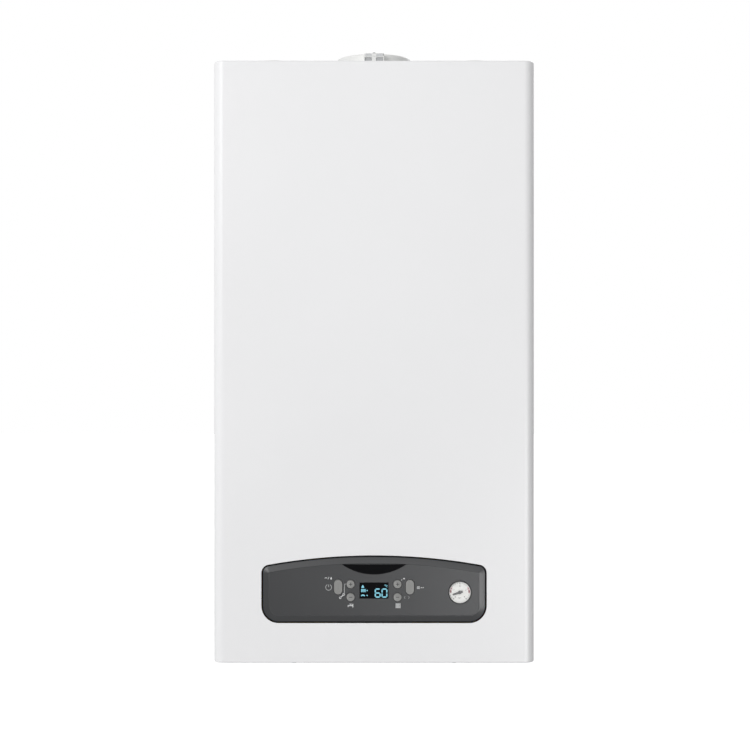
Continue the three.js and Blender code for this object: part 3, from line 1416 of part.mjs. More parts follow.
add(
  "chamber",
  "air_pressure_switch",
  airPressureSwitch(),
  WHITE_PLASTIC,
  -CHAMBER_HALF + CHAMBER_SHEET,
  COLLAR_Y,
  CHAMBER_TOP - 70,
);
add(
  "chamber",
  "overheat_thermostat",
  overheatThermostat(),
  BLACK_PLASTIC,
  STACK_HALF_X,
  COLLAR_Y,
  FIREBOX_TOP + EXCHANGER_HEIGHT - 8,
);

add("hydraulics", "expansion_vessel", expansionVessel(), RED_PAINT);
add("hydraulics", "flow_group", flowGroup(), BRASS);
add("hydraulics", "diverter_stem", diverterStem(), STEEL, DIVERTER_X, STUB_Y, DIVERTER_TOP);
add("hydraulics", "diverter_actuator", diverterActuator(), BLACK_PLASTIC, DIVERTER_X, STUB_Y, DIVERTER_TOP);
add("hydraulics", "return_group", returnGroup(), BRASS);
add("hydraulics", "plate_heat_exchanger", plateHeatExchanger(), STEEL);
add("hydraulics", "pump_housing", pumpHousing(), BLACK_PLASTIC, PUMP_X, 0, PUMP_Z);
const pumpWheel = bladedWheel(PUMP_WHEEL_RADIUS, 26, 8, 20);
add("hydraulics", "pump_wheel", pumpWheel, WHITE_PLASTIC, PUMP_X, PUMP_FRONT + WHEEL_GAP, PUMP_Z);
add("hydraulics", "pump_motor", motor(40, 84, PUMP_RADIUS, 18), CAST_ALUMINIUM, PUMP_X, PUMP_FRONT, PUMP_Z);
add("hydraulics", "air_vent", airVent(), BRASS, PUMP_X - OUTLET_X, STUB_Y, PUMP_Z + PUMP_RADIUS + 2);
add("hydraulics", "gas_valve", gasValve(), CAST_ALUMINIUM);
add("hydraulics", "gas_pipe", gasPipe(), COPPER);
add("hydraulics", "flow_pipe", flowPipe(), COPPER);
add("hydraulics", "return_pipe", returnPipe(), COPPER);
add(
  "hydraulics",
  "safety_valve_knob",
  safetyValveKnob(),
  RED_PLASTIC,
  VALVE_X,
  STUB_Y - BAR_HALF_DEPTH - VALVE_LENGTH - SHAFT_CLEARANCE,
  VALVE_Z,
);
add("hydraulics", "filling_tap_knob", fillingTapKnob(), BLACK_PLASTIC, TAP_X, TAP_Y, -6);

add("controls", "control_box", controlBox(), BLACK_PLASTIC);
add("controls", "fascia", fascia(), FASCIA_GREY);
const inlayPlate = plate(inlayOutline(0), INLAY_FRONT, INLAY_FRONT + INLAY_THICK);
add("controls", "inlay_plate", inlayPlate, GLOSS_BLACK);
add("controls", "display", display(), GLOSS_BLACK, 0, 0, DISPLAY_Z);
add("controls", "circuit_board", circuitBoard(), BOARD_GREEN);
for (const [word, side] of [
  ["left", -1],
  ["right", 1],
]) {
  add("controls", "button_upper_" + word, roundButton(), BUTTON_GREY, side * BUTTON_X, 0, BUTTON_Z[0]);
  add("controls", "button_lower_" + word, roundButton(), BUTTON_GREY, side * BUTTON_X, 0, BUTTON_Z[1]);
  add("controls", "button_oblong_" + word, oblongButton(), BUTTON_GREY, side * OBLONG_X, 0, OBLONG_Z);
}
add("controls", "gauge_body", gaugeBody(), DIAL_WHITE, GAUGE_X, 0, GAUGE_Z);
add("controls", "gauge_lens", gaugeLens(), CLEAR_PLASTIC, GAUGE_X, 0, GAUGE_Z);
add("controls", "gauge_needle", gaugeNeedle(), BLACK_PLASTIC, GAUGE_X, 0, GAUGE_Z);
groups.controls.children.at(-1).rotation.y = -NEEDLE_REST;

export default boiler;
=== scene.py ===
"""The looks of a wall-hung combination boiler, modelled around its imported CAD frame.

Shapes are given in millimetres in the casing's own frame: x across, y from the wall (0) towards the
front (negative), z up from the casing's lower edge. build() runs every operator in order.
"""

import json
import math

import bpy
from bpy.props import (
    FloatProperty,
    FloatVectorProperty,
    IntProperty,
    PointerProperty,
    StringProperty,
)
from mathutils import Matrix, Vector

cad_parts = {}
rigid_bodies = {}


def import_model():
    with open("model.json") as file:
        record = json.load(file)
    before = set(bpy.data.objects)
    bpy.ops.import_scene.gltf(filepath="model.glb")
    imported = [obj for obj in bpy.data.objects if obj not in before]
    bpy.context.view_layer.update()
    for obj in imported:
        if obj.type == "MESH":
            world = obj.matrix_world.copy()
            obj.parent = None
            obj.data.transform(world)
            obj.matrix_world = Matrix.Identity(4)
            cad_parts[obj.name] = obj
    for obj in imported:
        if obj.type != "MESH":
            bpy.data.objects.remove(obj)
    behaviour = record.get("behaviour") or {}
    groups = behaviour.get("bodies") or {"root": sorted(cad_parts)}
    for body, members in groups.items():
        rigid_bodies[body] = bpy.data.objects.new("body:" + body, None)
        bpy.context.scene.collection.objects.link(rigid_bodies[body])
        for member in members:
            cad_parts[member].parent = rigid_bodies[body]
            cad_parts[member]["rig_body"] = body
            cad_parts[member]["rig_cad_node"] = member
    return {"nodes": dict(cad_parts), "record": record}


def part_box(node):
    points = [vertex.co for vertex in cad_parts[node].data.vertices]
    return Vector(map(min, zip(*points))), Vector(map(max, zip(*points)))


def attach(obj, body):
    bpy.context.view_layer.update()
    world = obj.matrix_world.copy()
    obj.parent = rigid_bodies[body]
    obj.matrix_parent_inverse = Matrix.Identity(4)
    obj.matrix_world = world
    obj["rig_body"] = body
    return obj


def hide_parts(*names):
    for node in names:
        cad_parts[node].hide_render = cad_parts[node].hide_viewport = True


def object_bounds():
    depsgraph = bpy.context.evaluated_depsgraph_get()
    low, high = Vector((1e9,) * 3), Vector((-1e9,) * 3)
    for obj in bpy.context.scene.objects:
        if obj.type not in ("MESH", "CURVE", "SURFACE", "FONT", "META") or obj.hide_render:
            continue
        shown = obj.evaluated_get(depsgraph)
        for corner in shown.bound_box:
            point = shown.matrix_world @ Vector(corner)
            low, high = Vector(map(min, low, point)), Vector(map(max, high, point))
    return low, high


bl_info = {
    "name": "Combination boiler looks",
    "version": (1, 0, 0),
    "blender": (4, 5, 0),
    "location": "View3D > Sidebar > Boiler",
    "description": "Models the visible pieces of a wall-hung combination boiler around its CAD frame",
    "category": "Add Mesh",
}

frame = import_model()
CAD_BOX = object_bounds()
NODES = frame["nodes"]

MM = 0.001
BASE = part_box("front_cover")[0].z
WELD = 1e-6
SMOOTH_ANGLE = math.radians(32)
ROUND = 64


def corners(node):
    """A node's lowest and highest corners, in millimetres in the casing's frame."""
    return [Vector((p.x, p.y, p.z - BASE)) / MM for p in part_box(node)]


COVER_LOW, COVER_HIGH = corners("front_cover")
FRONT = COVER_LOW.y
COVER_REAR = COVER_HIGH.y
HEIGHT = COVER_HIGH.z
FASCIA_LOW, FASCIA_HIGH = corners("fascia")
COLLAR_Y = -165
PORT_Y = -220
STUB_Y = -100
FASCIA_HALF = FASCIA_HIGH.x


# ---------------------------------------------------------------- settings


def length(name, description, default, **more):
    """A length property, with its default in metres."""
    return FloatProperty(name=name, description=description, default=default, unit="LENGTH", **more)


def colour(name, description, default):
    """A linear colour property."""
    return FloatVectorProperty(
        name=name, description=description, default=default, subtype="COLOR", size=3, min=0, max=1
    )


def linear(*levels):
    """A display colour of three levels from 0 to 255, as linear values."""
    shares = [level / 255 for level in levels]
    return tuple(s / 12.92 if s <= 0.04045 else ((s + 0.055) / 1.055) ** 2.4 for s in shares)


class CasingSettings(bpy.types.PropertyGroup):
    """Sizes and colours of the painted sheet casing."""

    sheet: length("Sheet", "Thickness of the cover's sheet", 0.0012)
    corner: length("Corner", "Radius of the cover's upright front edges", 0.013)
    fold: length("Fold", "Radius of the cover's upper and lower front edges", 0.0022)
    lip: length("Lower lip", "Depth of the cover's lower edge", 0.03)
    window_gap: length("Window gap", "Gap between the window and the control panel", 0.00135)
    paint: colour("Paint", "Colour of the casing", linear(233, 233, 234))


class PanelSettings(bpy.types.PropertyGroup):
    """Sizes and colours of the control panel."""

    arch: length("Arch", "Radius of the panel's upper edge", 0.747)
    upper_corner: length("Upper corner", "Radius of the upper corners", 0.010)
    lower_corner: length("Lower corner", "Radius of the lower corners", 0.021)
    clearance: length("Clearance", "How far the panel and its window are drawn in from the CAD outline", 0.0008)
    band: length("Band", "Width of the sloped band round the face", 0.0063)
    band_fall: length("Band fall", "How far the band falls towards the edge", 0.0021)
    step: length("Step", "How far the face is sunk inside the band", 0.00035)
    face: colour("Face", "Colour of the panel", linear(46, 47, 49))
    button: colour("Buttons", "Colour of the buttons", linear(128, 128, 126))
    glow: colour("Display", "Colour of the lit display", linear(128, 206, 226))
    print_colour: colour("Print", "Colour of the printed symbols", linear(205, 206, 206))
    shown: StringProperty(name="Shown", description="Number on the display", default="60")


class MetalSettings(bpy.types.PropertyGroup):
    """Colours of the metals."""

    zinc: colour("Zinc", "Zinc-coated sheet", linear(196, 200, 203))
    steel: colour("Steel", "Plain steel", linear(190, 192, 194))
    copper: colour("Copper", "Drawn copper pipe", linear(201, 128, 92))
    brass: colour("Brass", "Cast and machined brass", linear(205, 172, 104))
    cast: colour("Cast aluminium", "Die-cast aluminium", linear(188, 190, 191))


class StageSettings(bpy.types.PropertyGroup):
    """Camera, lamps and floor."""

    distance: length("Distance", "From the camera to the casing's front", 2.0)
    aside: length("Aside", "How far the camera stands to the right of the middle", 0.0012)
    rise: length("Rise", "Height of the camera above the casing's lower edge", 0.3586)
    lens: FloatProperty(name="Lens", description="Focal length in millimetres", default=77.16)
    floor_drop: length("Floor", "From the casing's lower edge down to the floor", 1.2)
    ambient: FloatProperty(name="Ambient", description="Strength of the light all round", default=0.56)
    key: FloatProperty(name="Key", description="Power of the large lamp on the left", default=58, subtype="POWER")
    fill: FloatProperty(name="Fill", description="Power of the lamp behind", default=30, subtype="POWER")
    sheen: FloatProperty(name="Sheen", description="Brightness of the card that plastic reflects", default=11.5)
    crown: FloatProperty(name="Crown", description="Brightness of the card above it", default=3.4)
    shade: FloatProperty(name="Shade", description="Brightness of the dark cards", default=0.15)


SETTINGS = {
    "boiler_casing": CasingSettings,
    "boiler_panel": PanelSettings,
    "boiler_metal": MetalSettings,
    "boiler_stage": StageSettings,
}


def setting(group):
    """The settings of one group in the current scene."""
    return getattr(bpy.context.scene, "boiler_" + group)


# ---------------------------------------------------------------- finishes


class Wire:
    """A node's output. Arithmetic on it adds Math nodes to its material."""

    def __init__(self, finish, socket):
        self.finish = finish
        self.socket = socket

    def maths(self, operation, first, second):
        return self.finish.node("ShaderNodeMath", {"operation": operation}, {0: first, 1: second})

    def __add__(self, other):
        return self.maths("ADD", self, other)

    def __radd__(self, other):
        return self.maths("ADD", other, self)

    def __sub__(self, other):
        return self.maths("SUBTRACT", self, other)

    def __rsub__(self, other):
        return self.maths("SUBTRACT", other, self)

    def __mul__(self, other):
        return self.maths("MULTIPLY", self, other)

    def __rmul__(self, other):
        return self.maths("MULTIPLY", other, self)

    def __gt__(self, other):
        return self.maths("GREATER_THAN", self, other)

    def __lt__(self, other):
        return self.maths("LESS_THAN", self, other)


class Finish:
    """A material that is being mixed, with the shader at its end."""

    def __init__(self, name, **uniform):
        self.material = bpy.data.materials.new(name)
        self.material.use_nodes = True
        self.tree = self.material.node_tree
        self.shader = self.tree.nodes["Principled BSDF"]
        for socket, value in uniform.items():
            self.feed(self.shader.inputs[socket.replace("_", " ")], value)

    def feed(self, socket, value):
        """Links a wire to a socket, or sets its value."""
        if isinstance(value, Wire):
            self.tree.links.new(value.socket, socket)
        elif socket.type == "RGBA" and len(value) == 3:
            socket.default_value = (*value, 1)
        else:
            socket.default_value = value

    def node(self, kind, settings=None, values=None, output=0):
        """Adds a node: its settings first, then the values or links of its sockets."""
        made = self.tree.nodes.new(kind)
        for key, value in (settings or {}).items():
            setattr(made, key, value)
        for key, value in (values or {}).items():
            self.feed(made.inputs[key], value)
        return Wire(self, made.outputs[output])

    def place(self, stretch=(1, 1, 1)):
        """Object coordinates, stretched along each axis."""
        spot = self.node("ShaderNodeTexCoord", output="Object")
        return self.node("ShaderNodeMapping", {}, {"Vector": spot, "Scale": stretch})

    def noise(self, scale, detail=3, stretch=(1, 1, 1)):
        """Soft noise from 0 to 1, with about this many spots to the metre."""
        return self.node(
            "ShaderNodeTexNoise", {}, {"Vector": self.place(stretch), "Scale": scale, "Detail": detail}
        )

    def cells(self, scale, feature="F1", output="Distance", stretch=(1, 1, 1)):
        """Crystal-like cells."""
        return self.node(
            "ShaderNodeTexVoronoi",
            {"feature": feature},
            {"Vector": self.place(stretch), "Scale": scale},
            output,
        )

    def mix(self, share, first, second):
        """A colour between two."""
        return self.node(
            "ShaderNodeMix", {"data_type": "RGBA"}, {0: share, 6: first, 7: second}, output=2
        )

    def spread(self, value, low, high):
        """A value from a range spread over 0 to 1."""
        return self.node(
            "ShaderNodeMapRange", {"clamp": True}, {"Value": value, "From Min": low, "From Max": high}
        )

    def bump(self, height, depth, strength=1.0):
        """A bumpy normal from a height and the depth in metres that it spans."""
        return self.node(
            "ShaderNodeBump", {}, {"Height": height, "Distance": depth, "Strength": strength}
        )

    def wear(self, **changing):
        """Feeds what changes over the surface to the shader."""
        for socket, value in changing.items():
            self.feed(self.shader.inputs[socket.replace("_", " ")], value)
        return self.material


def shade(tone, factor):
    """A colour made darker or lighter."""
    return tuple(min(level * factor, 1) for level in tone)


def powder_coat(name, tone, roughness=0.36):
    """Satin powder coat: a fine orange peel and a barely uneven white."""
    finish = Finish(name, Specular_IOR_Level=0.4)
    cloud = finish.noise(5, 2)
    fine = finish.noise(900, 2)
    return finish.wear(
        Base_Color=finish.mix(cloud, shade(tone, 0.985), shade(tone, 1.015)),
        Roughness=cloud * 0.05 + fine * 0.05 + (roughness - 0.05),
        Normal=finish.bump(fine, 0.00002, 0.25),
    )


def zinc_sheet(name, tone):
    """Zinc-coated sheet: dull spangle with fine rolling marks."""
    finish = Finish(name)
    spangle = finish.cells(70, output="Color")
    grey = finish.node("ShaderNodeRGBToBW", {}, {0: spangle})
    rolling = finish.noise(60, 3, (40, 1, 1))
    cloud = finish.noise(12, 3)
    blend = grey * 0.4 + cloud * 0.6
    return finish.wear(
        Base_Color=finish.mix(blend, shade(tone, 0.84), shade(tone, 1.06)),
        Metallic=0.85 + grey * 0.1,
        Roughness=0.36 + grey * 0.12 + rolling * 0.08,
        Normal=finish.bump(rolling, 0.00002, 0.2),
    )


def brushed(name, tone, roughness=0.3, stretch=(1, 1, 60)):
    """Metal with fine lines along one axis and slight stains."""
    finish = Finish(name, Metallic=1.0)
    lines = finish.noise(30, 3, stretch)
    stain = finish.noise(25, 4)
    return finish.wear(
        Base_Color=finish.mix(stain, shade(tone, 0.82), shade(tone, 1.05)),
        Roughness=roughness + stain * 0.12 + lines * 0.1,
        Normal=finish.bump(lines, 0.00003, 0.25),
    )


def cast_metal(name, tone, roughness=0.42):
    """Cast metal: a sandy skin with darker stains."""
    finish = Finish(name)
    sand = finish.noise(1400, 2)
    stain = finish.noise(35, 4)
    return finish.wear(
        Base_Color=finish.mix(stain, shade(tone, 0.74), shade(tone, 1.05)),
        Metallic=0.9 + sand * 0.08,
        Roughness=roughness + stain * 0.15,
        Normal=finish.bump(sand, 0.00006, 0.5),
    )


def copper_pipe(name, tone):
    """Drawn copper with brown tarnish clouds."""
    finish = Finish(name, Metallic=1.0)
    cloud = finish.spread(finish.noise(28, 5), 0.38, 0.7)
    lines = finish.noise(50, 2, (1, 1, 30))
    return finish.wear(
        Base_Color=finish.mix(cloud, tone, shade(tone, 0.55)),
        Roughness=0.24 + cloud * 0.2 + lines * 0.06,
        Normal=finish.bump(lines, 0.00002, 0.2),
    )


def moulded(name, tone, roughness=0.45, grain=1600, depth=0.00003, uneven=0.06, **uniform):
    """Moulded plastic with a fine spark grain."""
    finish = Finish(name, **uniform)
    skin = finish.noise(grain, 2)
    cloud = finish.noise(18, 3)
    return finish.wear(
        Base_Color=finish.mix(cloud, shade(tone, 1 - uneven), shade(tone, 1 + uneven)),
        Roughness=roughness - 0.04 + cloud * 0.05 + skin * 0.04,
        Normal=finish.bump(skin, depth, 0.4),
    )


def fibre_board(name, tone):
    """Pressed ceramic fibre: matted strands and soft stains."""
    finish = Finish(name, Specular_IOR_Level=0.15)
    strands = finish.noise(260, 5, (1, 6, 1))
    stain = finish.noise(30, 4)
    return finish.wear(
        Base_Color=finish.mix(stain * 0.6 + strands * 0.4, shade(tone, 0.7), shade(tone, 1.12)),
        Roughness=0.85 + strands * 0.1,
        Normal=finish.bump(strands, 0.0003, 0.7),
    )


def circuit(name, tone):
    """Green lacquer over copper tracks."""
    finish = Finish(name)
    tracks = finish.cells(260, "DISTANCE_TO_EDGE", "Distance", (1, 1, 2.4)) < 0.08
    return finish.wear(
        Base_Color=finish.mix(tracks, tone, shade(tone, 2.2)),
        Roughness=0.35 + tracks * 0.1,
        Normal=finish.bump(tracks, 0.00004, 0.5),
    )


def lit(name, tone, strength):
    """A lit display element, a little uneven in brightness."""
    finish = Finish(name, Roughness=0.5, Emission_Strength=strength)
    cloud = finish.noise(220, 2)
    light = finish.mix(cloud, shade(tone, 0.82), shade(tone, 1.1))
    return finish.wear(Base_Color=finish.mix(cloud, (0, 0, 0), (0.01, 0.01, 0.01)), Emission_Color=light)


def lens_plastic(name):
    """A clear thin window: only its gloss shows."""
    finish = Finish(name, Base_Color=(1, 1, 1), Specular_IOR_Level=0.3)
    smear = finish.noise(60, 3)
    return finish.wear(Roughness=0.04 + smear * 0.05, Alpha=0.05 + smear * 0.03)


def make_finishes():
    """One finish for each material slot of the record, by the slot's name, and the printing inks."""
    casing, panel, metal = setting("casing"), setting("panel"), setting("metal")
    grey_ink = tuple(panel.print_colour)
    return {
        "white_paint": powder_coat("white powder coat", tuple(casing.paint)),
        "zinc_sheet": zinc_sheet("zinc-coated sheet", tuple(metal.zinc)),
        "steel": brushed("plain steel", tuple(metal.steel)),
        "white_plastic": moulded("white plastic", linear(229, 229, 227), 0.42),
        "cast_aluminium": cast_metal("cast aluminium", tuple(metal.cast)),
        "black_plastic": moulded("black plastic", linear(42, 43, 45), 0.5, uneven=0.15),
        "copper": copper_pipe("copper", tuple(metal.copper)),
        "brass": cast_metal("brass", tuple(metal.brass), 0.32),
        "ceramic_fibre": fibre_board("ceramic fibre", linear(205, 195, 176)),
        "electrode_ceramic": moulded("glazed ceramic", linear(232, 229, 220), 0.15, 300, 0.00001),
        "red_paint": powder_coat("red paint", linear(158, 34, 27), 0.3),
        "red_plastic": moulded("red plastic", linear(178, 28, 24), 0.38),
        "fascia_grey": moulded("panel plastic", tuple(panel.face), 0.36, 2600, 0.00002, 0.03),
        "gloss_black": moulded(
            "polished black", linear(14, 14, 16), 0.14, 120, 0.000001, 0.1, Specular_IOR_Level=0.12
        ),
        "board_green": circuit("circuit board", linear(38, 88, 54)),
        "button_grey": moulded("button plastic", tuple(panel.button), 0.42, 2200, 0.00002, 0.04),
        "dial_white": moulded("dial", linear(240, 240, 237), 0.5, 500, 0.00001, 0.02),
        "clear_plastic": lens_plastic("clear plastic"),
        "ink_light": moulded("light ink", grey_ink, 0.5, 3000, 0.00001, 0.05),
        "ink_grey": moulded("grey ink", shade(grey_ink, 0.55), 0.5, 3000, 0.00001, 0.05),
        "ink_dark": moulded("dark ink", linear(34, 34, 36), 0.5, 3000, 0.00001, 0.1),
        "ink_red": moulded("red ink", linear(120, 26, 40), 0.5, 3000, 0.00001, 0.05),
        "ink_pink": moulded("pink ink", linear(232, 190, 193), 0.5, 3000, 0.00001, 0.05),
        "glow": lit("display glow", tuple(panel.glow), 1.0),
        # Painted shade: near-black for the panel's side walls and opening walls, standing for the shade in the
        # gaps.
        "gap_shade_black": moulded(
            "painted gap shade", linear(20, 20, 21), 0.7, 900, 0.00001, 0.1, Specular_IOR_Level=0.1
        ),
        # Painted shade: grey finishes for inserts in the flue collar's and sampling cap's pockets, standing for
        # the shade inside them.
        "pocket_shade_light": moulded(
            "painted light pocket shade", linear(206, 207, 208), 0.6, 900, 0.00001, 0.1
        ),
        "pocket_shade_grey": moulded("painted grey pocket shade", linear(176, 177, 178), 0.6),
        "dark_steel": brushed("dark steel", linear(150, 151, 152), 0.4),
    }


FINISHES = {}


# ---------------------------------------------------------------- modelling in code


def only(*pieces):
    """Selects these pieces alone and makes the first of them active."""
    bpy.ops.object.select_all(action="DESELECT")
    for piece in pieces:
        piece.select_set(True)
    bpy.context.view_layer.objects.active = pieces[0]


def settled(name):
    """Names the new object and puts its place into its mesh."""
    piece = bpy.context.object
    piece.name = name
    piece.data.name = name
    only(piece)
    bpy.ops.object.transform_apply(location=True, rotation=True, scale=True)
    return piece


def at(x, y, z):
    """A point of the casing's frame, in metres in the frame of the CAD."""
    return Vector((x * MM, y * MM, BASE + z * MM))


def block(name, low, high):
    """A box between two corners."""
    bpy.ops.object.select_all(action="DESELECT")
    low, high = at(*low), at(*high)
    bpy.ops.mesh.primitive_cube_add(size=1, location=(low + high) / 2, scale=high - low)
    return settled(name)


def rod(name, radius, start, end, sides=ROUND):
    """A round bar between two points."""
    bpy.ops.object.select_all(action="DESELECT")
    start, end = at(*start), at(*end)
    run = end - start
    bpy.ops.mesh.primitive_cylinder_add(
        vertices=sides,
        radius=radius * MM,
        depth=run.length,
        location=(start + end) / 2,
        rotation=run.to_track_quat("Z", "Y").to_euler(),
    )
    return settled(name)


AXES = {
    "X": lambda u, v, w: (w, u, v),
    "Y": lambda u, v, w: (u, w, v),
    "Z": lambda u, v, w: (u, v, w),
}


def ring_of_points(name, points, filled):
    """A primitive circle whose points are moved to the places given."""
    bpy.ops.object.select_all(action="DESELECT")
    fill = "NGON" if filled else "NOTHING"
    bpy.ops.mesh.primitive_circle_add(vertices=len(points), fill_type=fill)
    piece = settled(name)
    for vertex, point in zip(piece.data.vertices, points):
        vertex.co = point
    return piece


def edit(piece, *steps):
    """Runs steps on all of a piece in edit mode."""
    only(piece)
    bpy.ops.object.mode_set(mode="EDIT")
    bpy.ops.mesh.select_all(action="SELECT")
    for step in steps:
        step()
    bpy.ops.object.mode_set(mode="OBJECT")
    return piece


def outwards():
    """Turns all selected faces outwards."""
    bpy.ops.mesh.normals_make_consistent(inside=False)


def extruded(name, outline, axis, start, end):
    """An outline in the plane across an axis, extruded along it."""
    turn = AXES[axis]
    piece = ring_of_points(name, [at(*turn(u, v, start)) for u, v in outline], True)
    travel = Vector(turn(0, 0, end - start)) * MM
    return edit(
        piece,
        lambda: bpy.ops.mesh.extrude_region_move(TRANSFORM_OT_translate={"value": travel}),
        lambda: bpy.ops.mesh.select_all(action="SELECT"),
        outwards,
    )


def turned(name, outline, axis, centre, steps=ROUND):
    """A closed outline of (radius, distance along) points, spun about an axis."""
    across = {"X": "Y", "Y": "X", "Z": "X"}[axis]
    side = Vector([float(letter == across) for letter in "XYZ"])
    along = Vector([float(letter == axis) for letter in "XYZ"])
    middle = at(*centre)
    points = [middle + side * radius * MM + along * far * MM for radius, far in outline]
    piece = ring_of_points(name, points, False)
    return edit(
        piece,
        lambda: bpy.ops.mesh.spin(
            steps=steps, angle=2 * math.pi, center=middle, axis=along, use_auto_merge=True
        ),
        lambda: bpy.ops.mesh.select_all(action="SELECT"),
        lambda: bpy.ops.mesh.remove_doubles(threshold=WELD),
        lambda: bpy.ops.mesh.delete_loose(),
        lambda: bpy.ops.mesh.select_all(action="SELECT"),
        outwards,
    )


def modified(piece, kind, **settings):
    """Adds a modifier, sets it and applies it."""
    only(piece)
    made = piece.modifiers.new(kind.title(), kind)
    for key, value in settings.items():
        setattr(made, key, value)
    bpy.ops.object.modifier_apply(modifier=made.name)
    return piece


def eased(piece, width, segments=2, angle=30):
    """Rounds the edges that are sharper than an angle, by a width in millimetres."""
    return modified(
        piece,
        "BEVEL",
        width=width * MM,
        segments=segments,
        limit_method="ANGLE",
        angle_limit=math.radians(angle),
        use_clamp_overlap=True,
        miter_outer="MITER_ARC",
    )


def combined(piece, operation, tools):
    """A boolean with each tool in turn. The tools are used up."""
    for tool in tools:
        modified(piece, "BOOLEAN", operation=operation, object=tool, solver="EXACT")
        only(tool)
        bpy.ops.object.delete()
    return piece


def cut(piece, *tools):
    """Takes the tools' shapes out of a piece."""
    return combined(piece, "DIFFERENCE", tools)


def fused(piece, *tools):
    """Unites the tools' shapes with a piece."""
    return combined(piece, "UNION", tools)


def joined(name, pieces):
    """Several bodies as one piece."""
    only(*pieces)
    if len(pieces) > 1:
        bpy.ops.object.join()
    return settled(name)


def copied(piece, name, move=(0, 0, 0), mirror=False):
    """A copy of a piece with its own mesh, moved, or mirrored across the middle."""
    only(piece)
    bpy.ops.object.duplicate()
    copy = bpy.context.object
    copy.location = Vector(move) * MM
    if mirror:
        copy.scale = (-1, 1, 1)
    settled(name)
    return edit(copy, outwards) if mirror else copy


def pick(piece, test):
    """Selects in edit mode the faces for which the test of centre (mm) and normal holds."""
    only(piece)
    bpy.ops.object.mode_set(mode="EDIT")
    bpy.ops.mesh.select_all(action="DESELECT")
    bpy.ops.object.mode_set(mode="OBJECT")
    for face in piece.data.polygons:
        centre = Vector((face.center.x, face.center.y, face.center.z - BASE)) / MM
        face.select = test(centre, face.normal)
    bpy.ops.object.mode_set(mode="EDIT")
    bpy.ops.mesh.select_mode(type="FACE")


def pick_edges(piece, test):
    """Selects in edit mode the edges for which the test of both ends (mm) holds."""
    only(piece)
    bpy.ops.object.mode_set(mode="EDIT")
    bpy.ops.mesh.select_mode(type="EDGE")
    bpy.ops.mesh.select_all(action="DESELECT")
    bpy.ops.object.mode_set(mode="OBJECT")
    places = [Vector((v.co.x, v.co.y, v.co.z - BASE)) / MM for v in piece.data.vertices]
    for side in piece.data.edges:
        side.select = test(*(places[i] for i in side.vertices))
    bpy.ops.object.mode_set(mode="EDIT")


def leave():
    """Leaves edit mode."""
    bpy.ops.mesh.select_mode(type="VERT")
    bpy.ops.object.mode_set(mode="OBJECT")


def refined(node, width=0.4, segments=2):
    """A copy of a CAD node with its doubles merged, its flat faces whole and its edges eased."""
    only(NODES[node])
    bpy.ops.object.duplicate()
    piece = bpy.context.object
    piece.parent = None
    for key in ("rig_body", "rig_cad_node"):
        del piece[key]
    settled(node + "_shape")
    bpy.ops.mesh.customdata_custom_splitnormals_clear()
    edit(
        piece,
        lambda: bpy.ops.mesh.remove_doubles(threshold=WELD),
        lambda: bpy.ops.mesh.dissolve_limited(angle_limit=math.radians(1)),
        outwards,
    )
    return eased(piece, width, segments, 35) if width else piece


def finished(piece, body, slot, *replaced, finish=None):
    """Gives a piece its finish, lets it ride on its body and hides the CAD nodes it stands for."""
    only(piece)
    bpy.ops.object.shade_smooth_by_angle(angle=SMOOTH_ANGLE)
    modified(piece, "WEIGHTED_NORMAL", mode="FACE_AREA", weight=100, keep_sharp=True)
    piece.data.materials.clear()
    piece.data.materials.append(FINISHES[finish or slot])
    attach(piece, body)
    if replaced:
        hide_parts(*replaced)
    return piece


# ---------------------------------------------------------------- outlines


def arc(x, z, radius, start, end, steps):
    """Points on an arc, its angles in degrees."""
    angles = [math.radians(start + (end - start) * i / steps) for i in range(steps + 1)]
    return [(x + radius * math.cos(a), z + radius * math.sin(a)) for a in angles]


def arc_band(x, z, radius, width, start, end, steps=24):
    """A curved stroke of even width."""
    outer = arc(x, z, radius + width / 2, start, end, steps)
    return outer + arc(x, z, radius - width / 2, end, start, steps)


def stroke(x0, z0, x1, z1, width):
    """A straight stroke of even width."""
    along = Vector((x1 - x0, z1 - z0)).normalized() * width / 2
    across = Vector((-along.y, along.x))
    return [
        (x0 + across.x, z0 + across.y),
        (x0 - across.x, z0 - across.y),
        (x1 - across.x, z1 - across.y),
        (x1 + across.x, z1 + across.y),
    ]


def rounded_box(left, right, low, high, radius, steps=10):
    """A rectangle with round corners."""
    return (
        arc(right - radius, low + radius, radius, -90, 0, steps)
        + arc(right - radius, high - radius, radius, 0, 90, steps)
        + arc(left + radius, high - radius, radius, 90, 180, steps)
        + arc(left + radius, low + radius, radius, 180, 270, steps)
    )


def panel_outline(inset):
    """The control panel's outline, drawn in by an inset: an arched top and large lower corners."""
    panel = setting("panel")
    inset += panel.clearance / MM
    half = FASCIA_HALF - inset
    low = FASCIA_LOW.z + inset
    arch = panel.arch / MM - inset
    arch_z = FASCIA_HIGH.z - panel.arch / MM
    lower = panel.lower_corner / MM - inset
    upper = panel.upper_corner / MM - inset
    upper_x = half - upper
    upper_z = arch_z + math.sqrt((arch - upper) ** 2 - upper_x**2)
    lean = math.degrees(math.atan2(upper_z - arch_z, upper_x))
    return (
        arc(half - lower, low + lower, lower, -90, 0, 16)
        + arc(upper_x, upper_z, upper, 0, lean, 12)
        + arc(0, arch_z, arch, lean, 180 - lean, 64)[1:-1]
        + arc(-upper_x, upper_z, upper, 180 - lean, 180, 12)
        + arc(-half + lower, low + lower, lower, 180, 270, 16)
    )


def inlay_outline(grow):
    """The lens shape under the panel's upper band: a straight top over an arc."""
    low, high = corners("inlay_plate")
    half = high.x + grow
    drop = high.z - low.z + grow
    radius = (half**2 + drop**2) / (2 * drop)
    sweep = math.degrees(math.asin(half / radius))
    return arc(0, high.z - drop + radius, radius, -90 - sweep, -90 + sweep, 40)


# ---------------------------------------------------------------- casing


SCREW_X = 100
HOOK_X = 150
PEG_DROP = 8


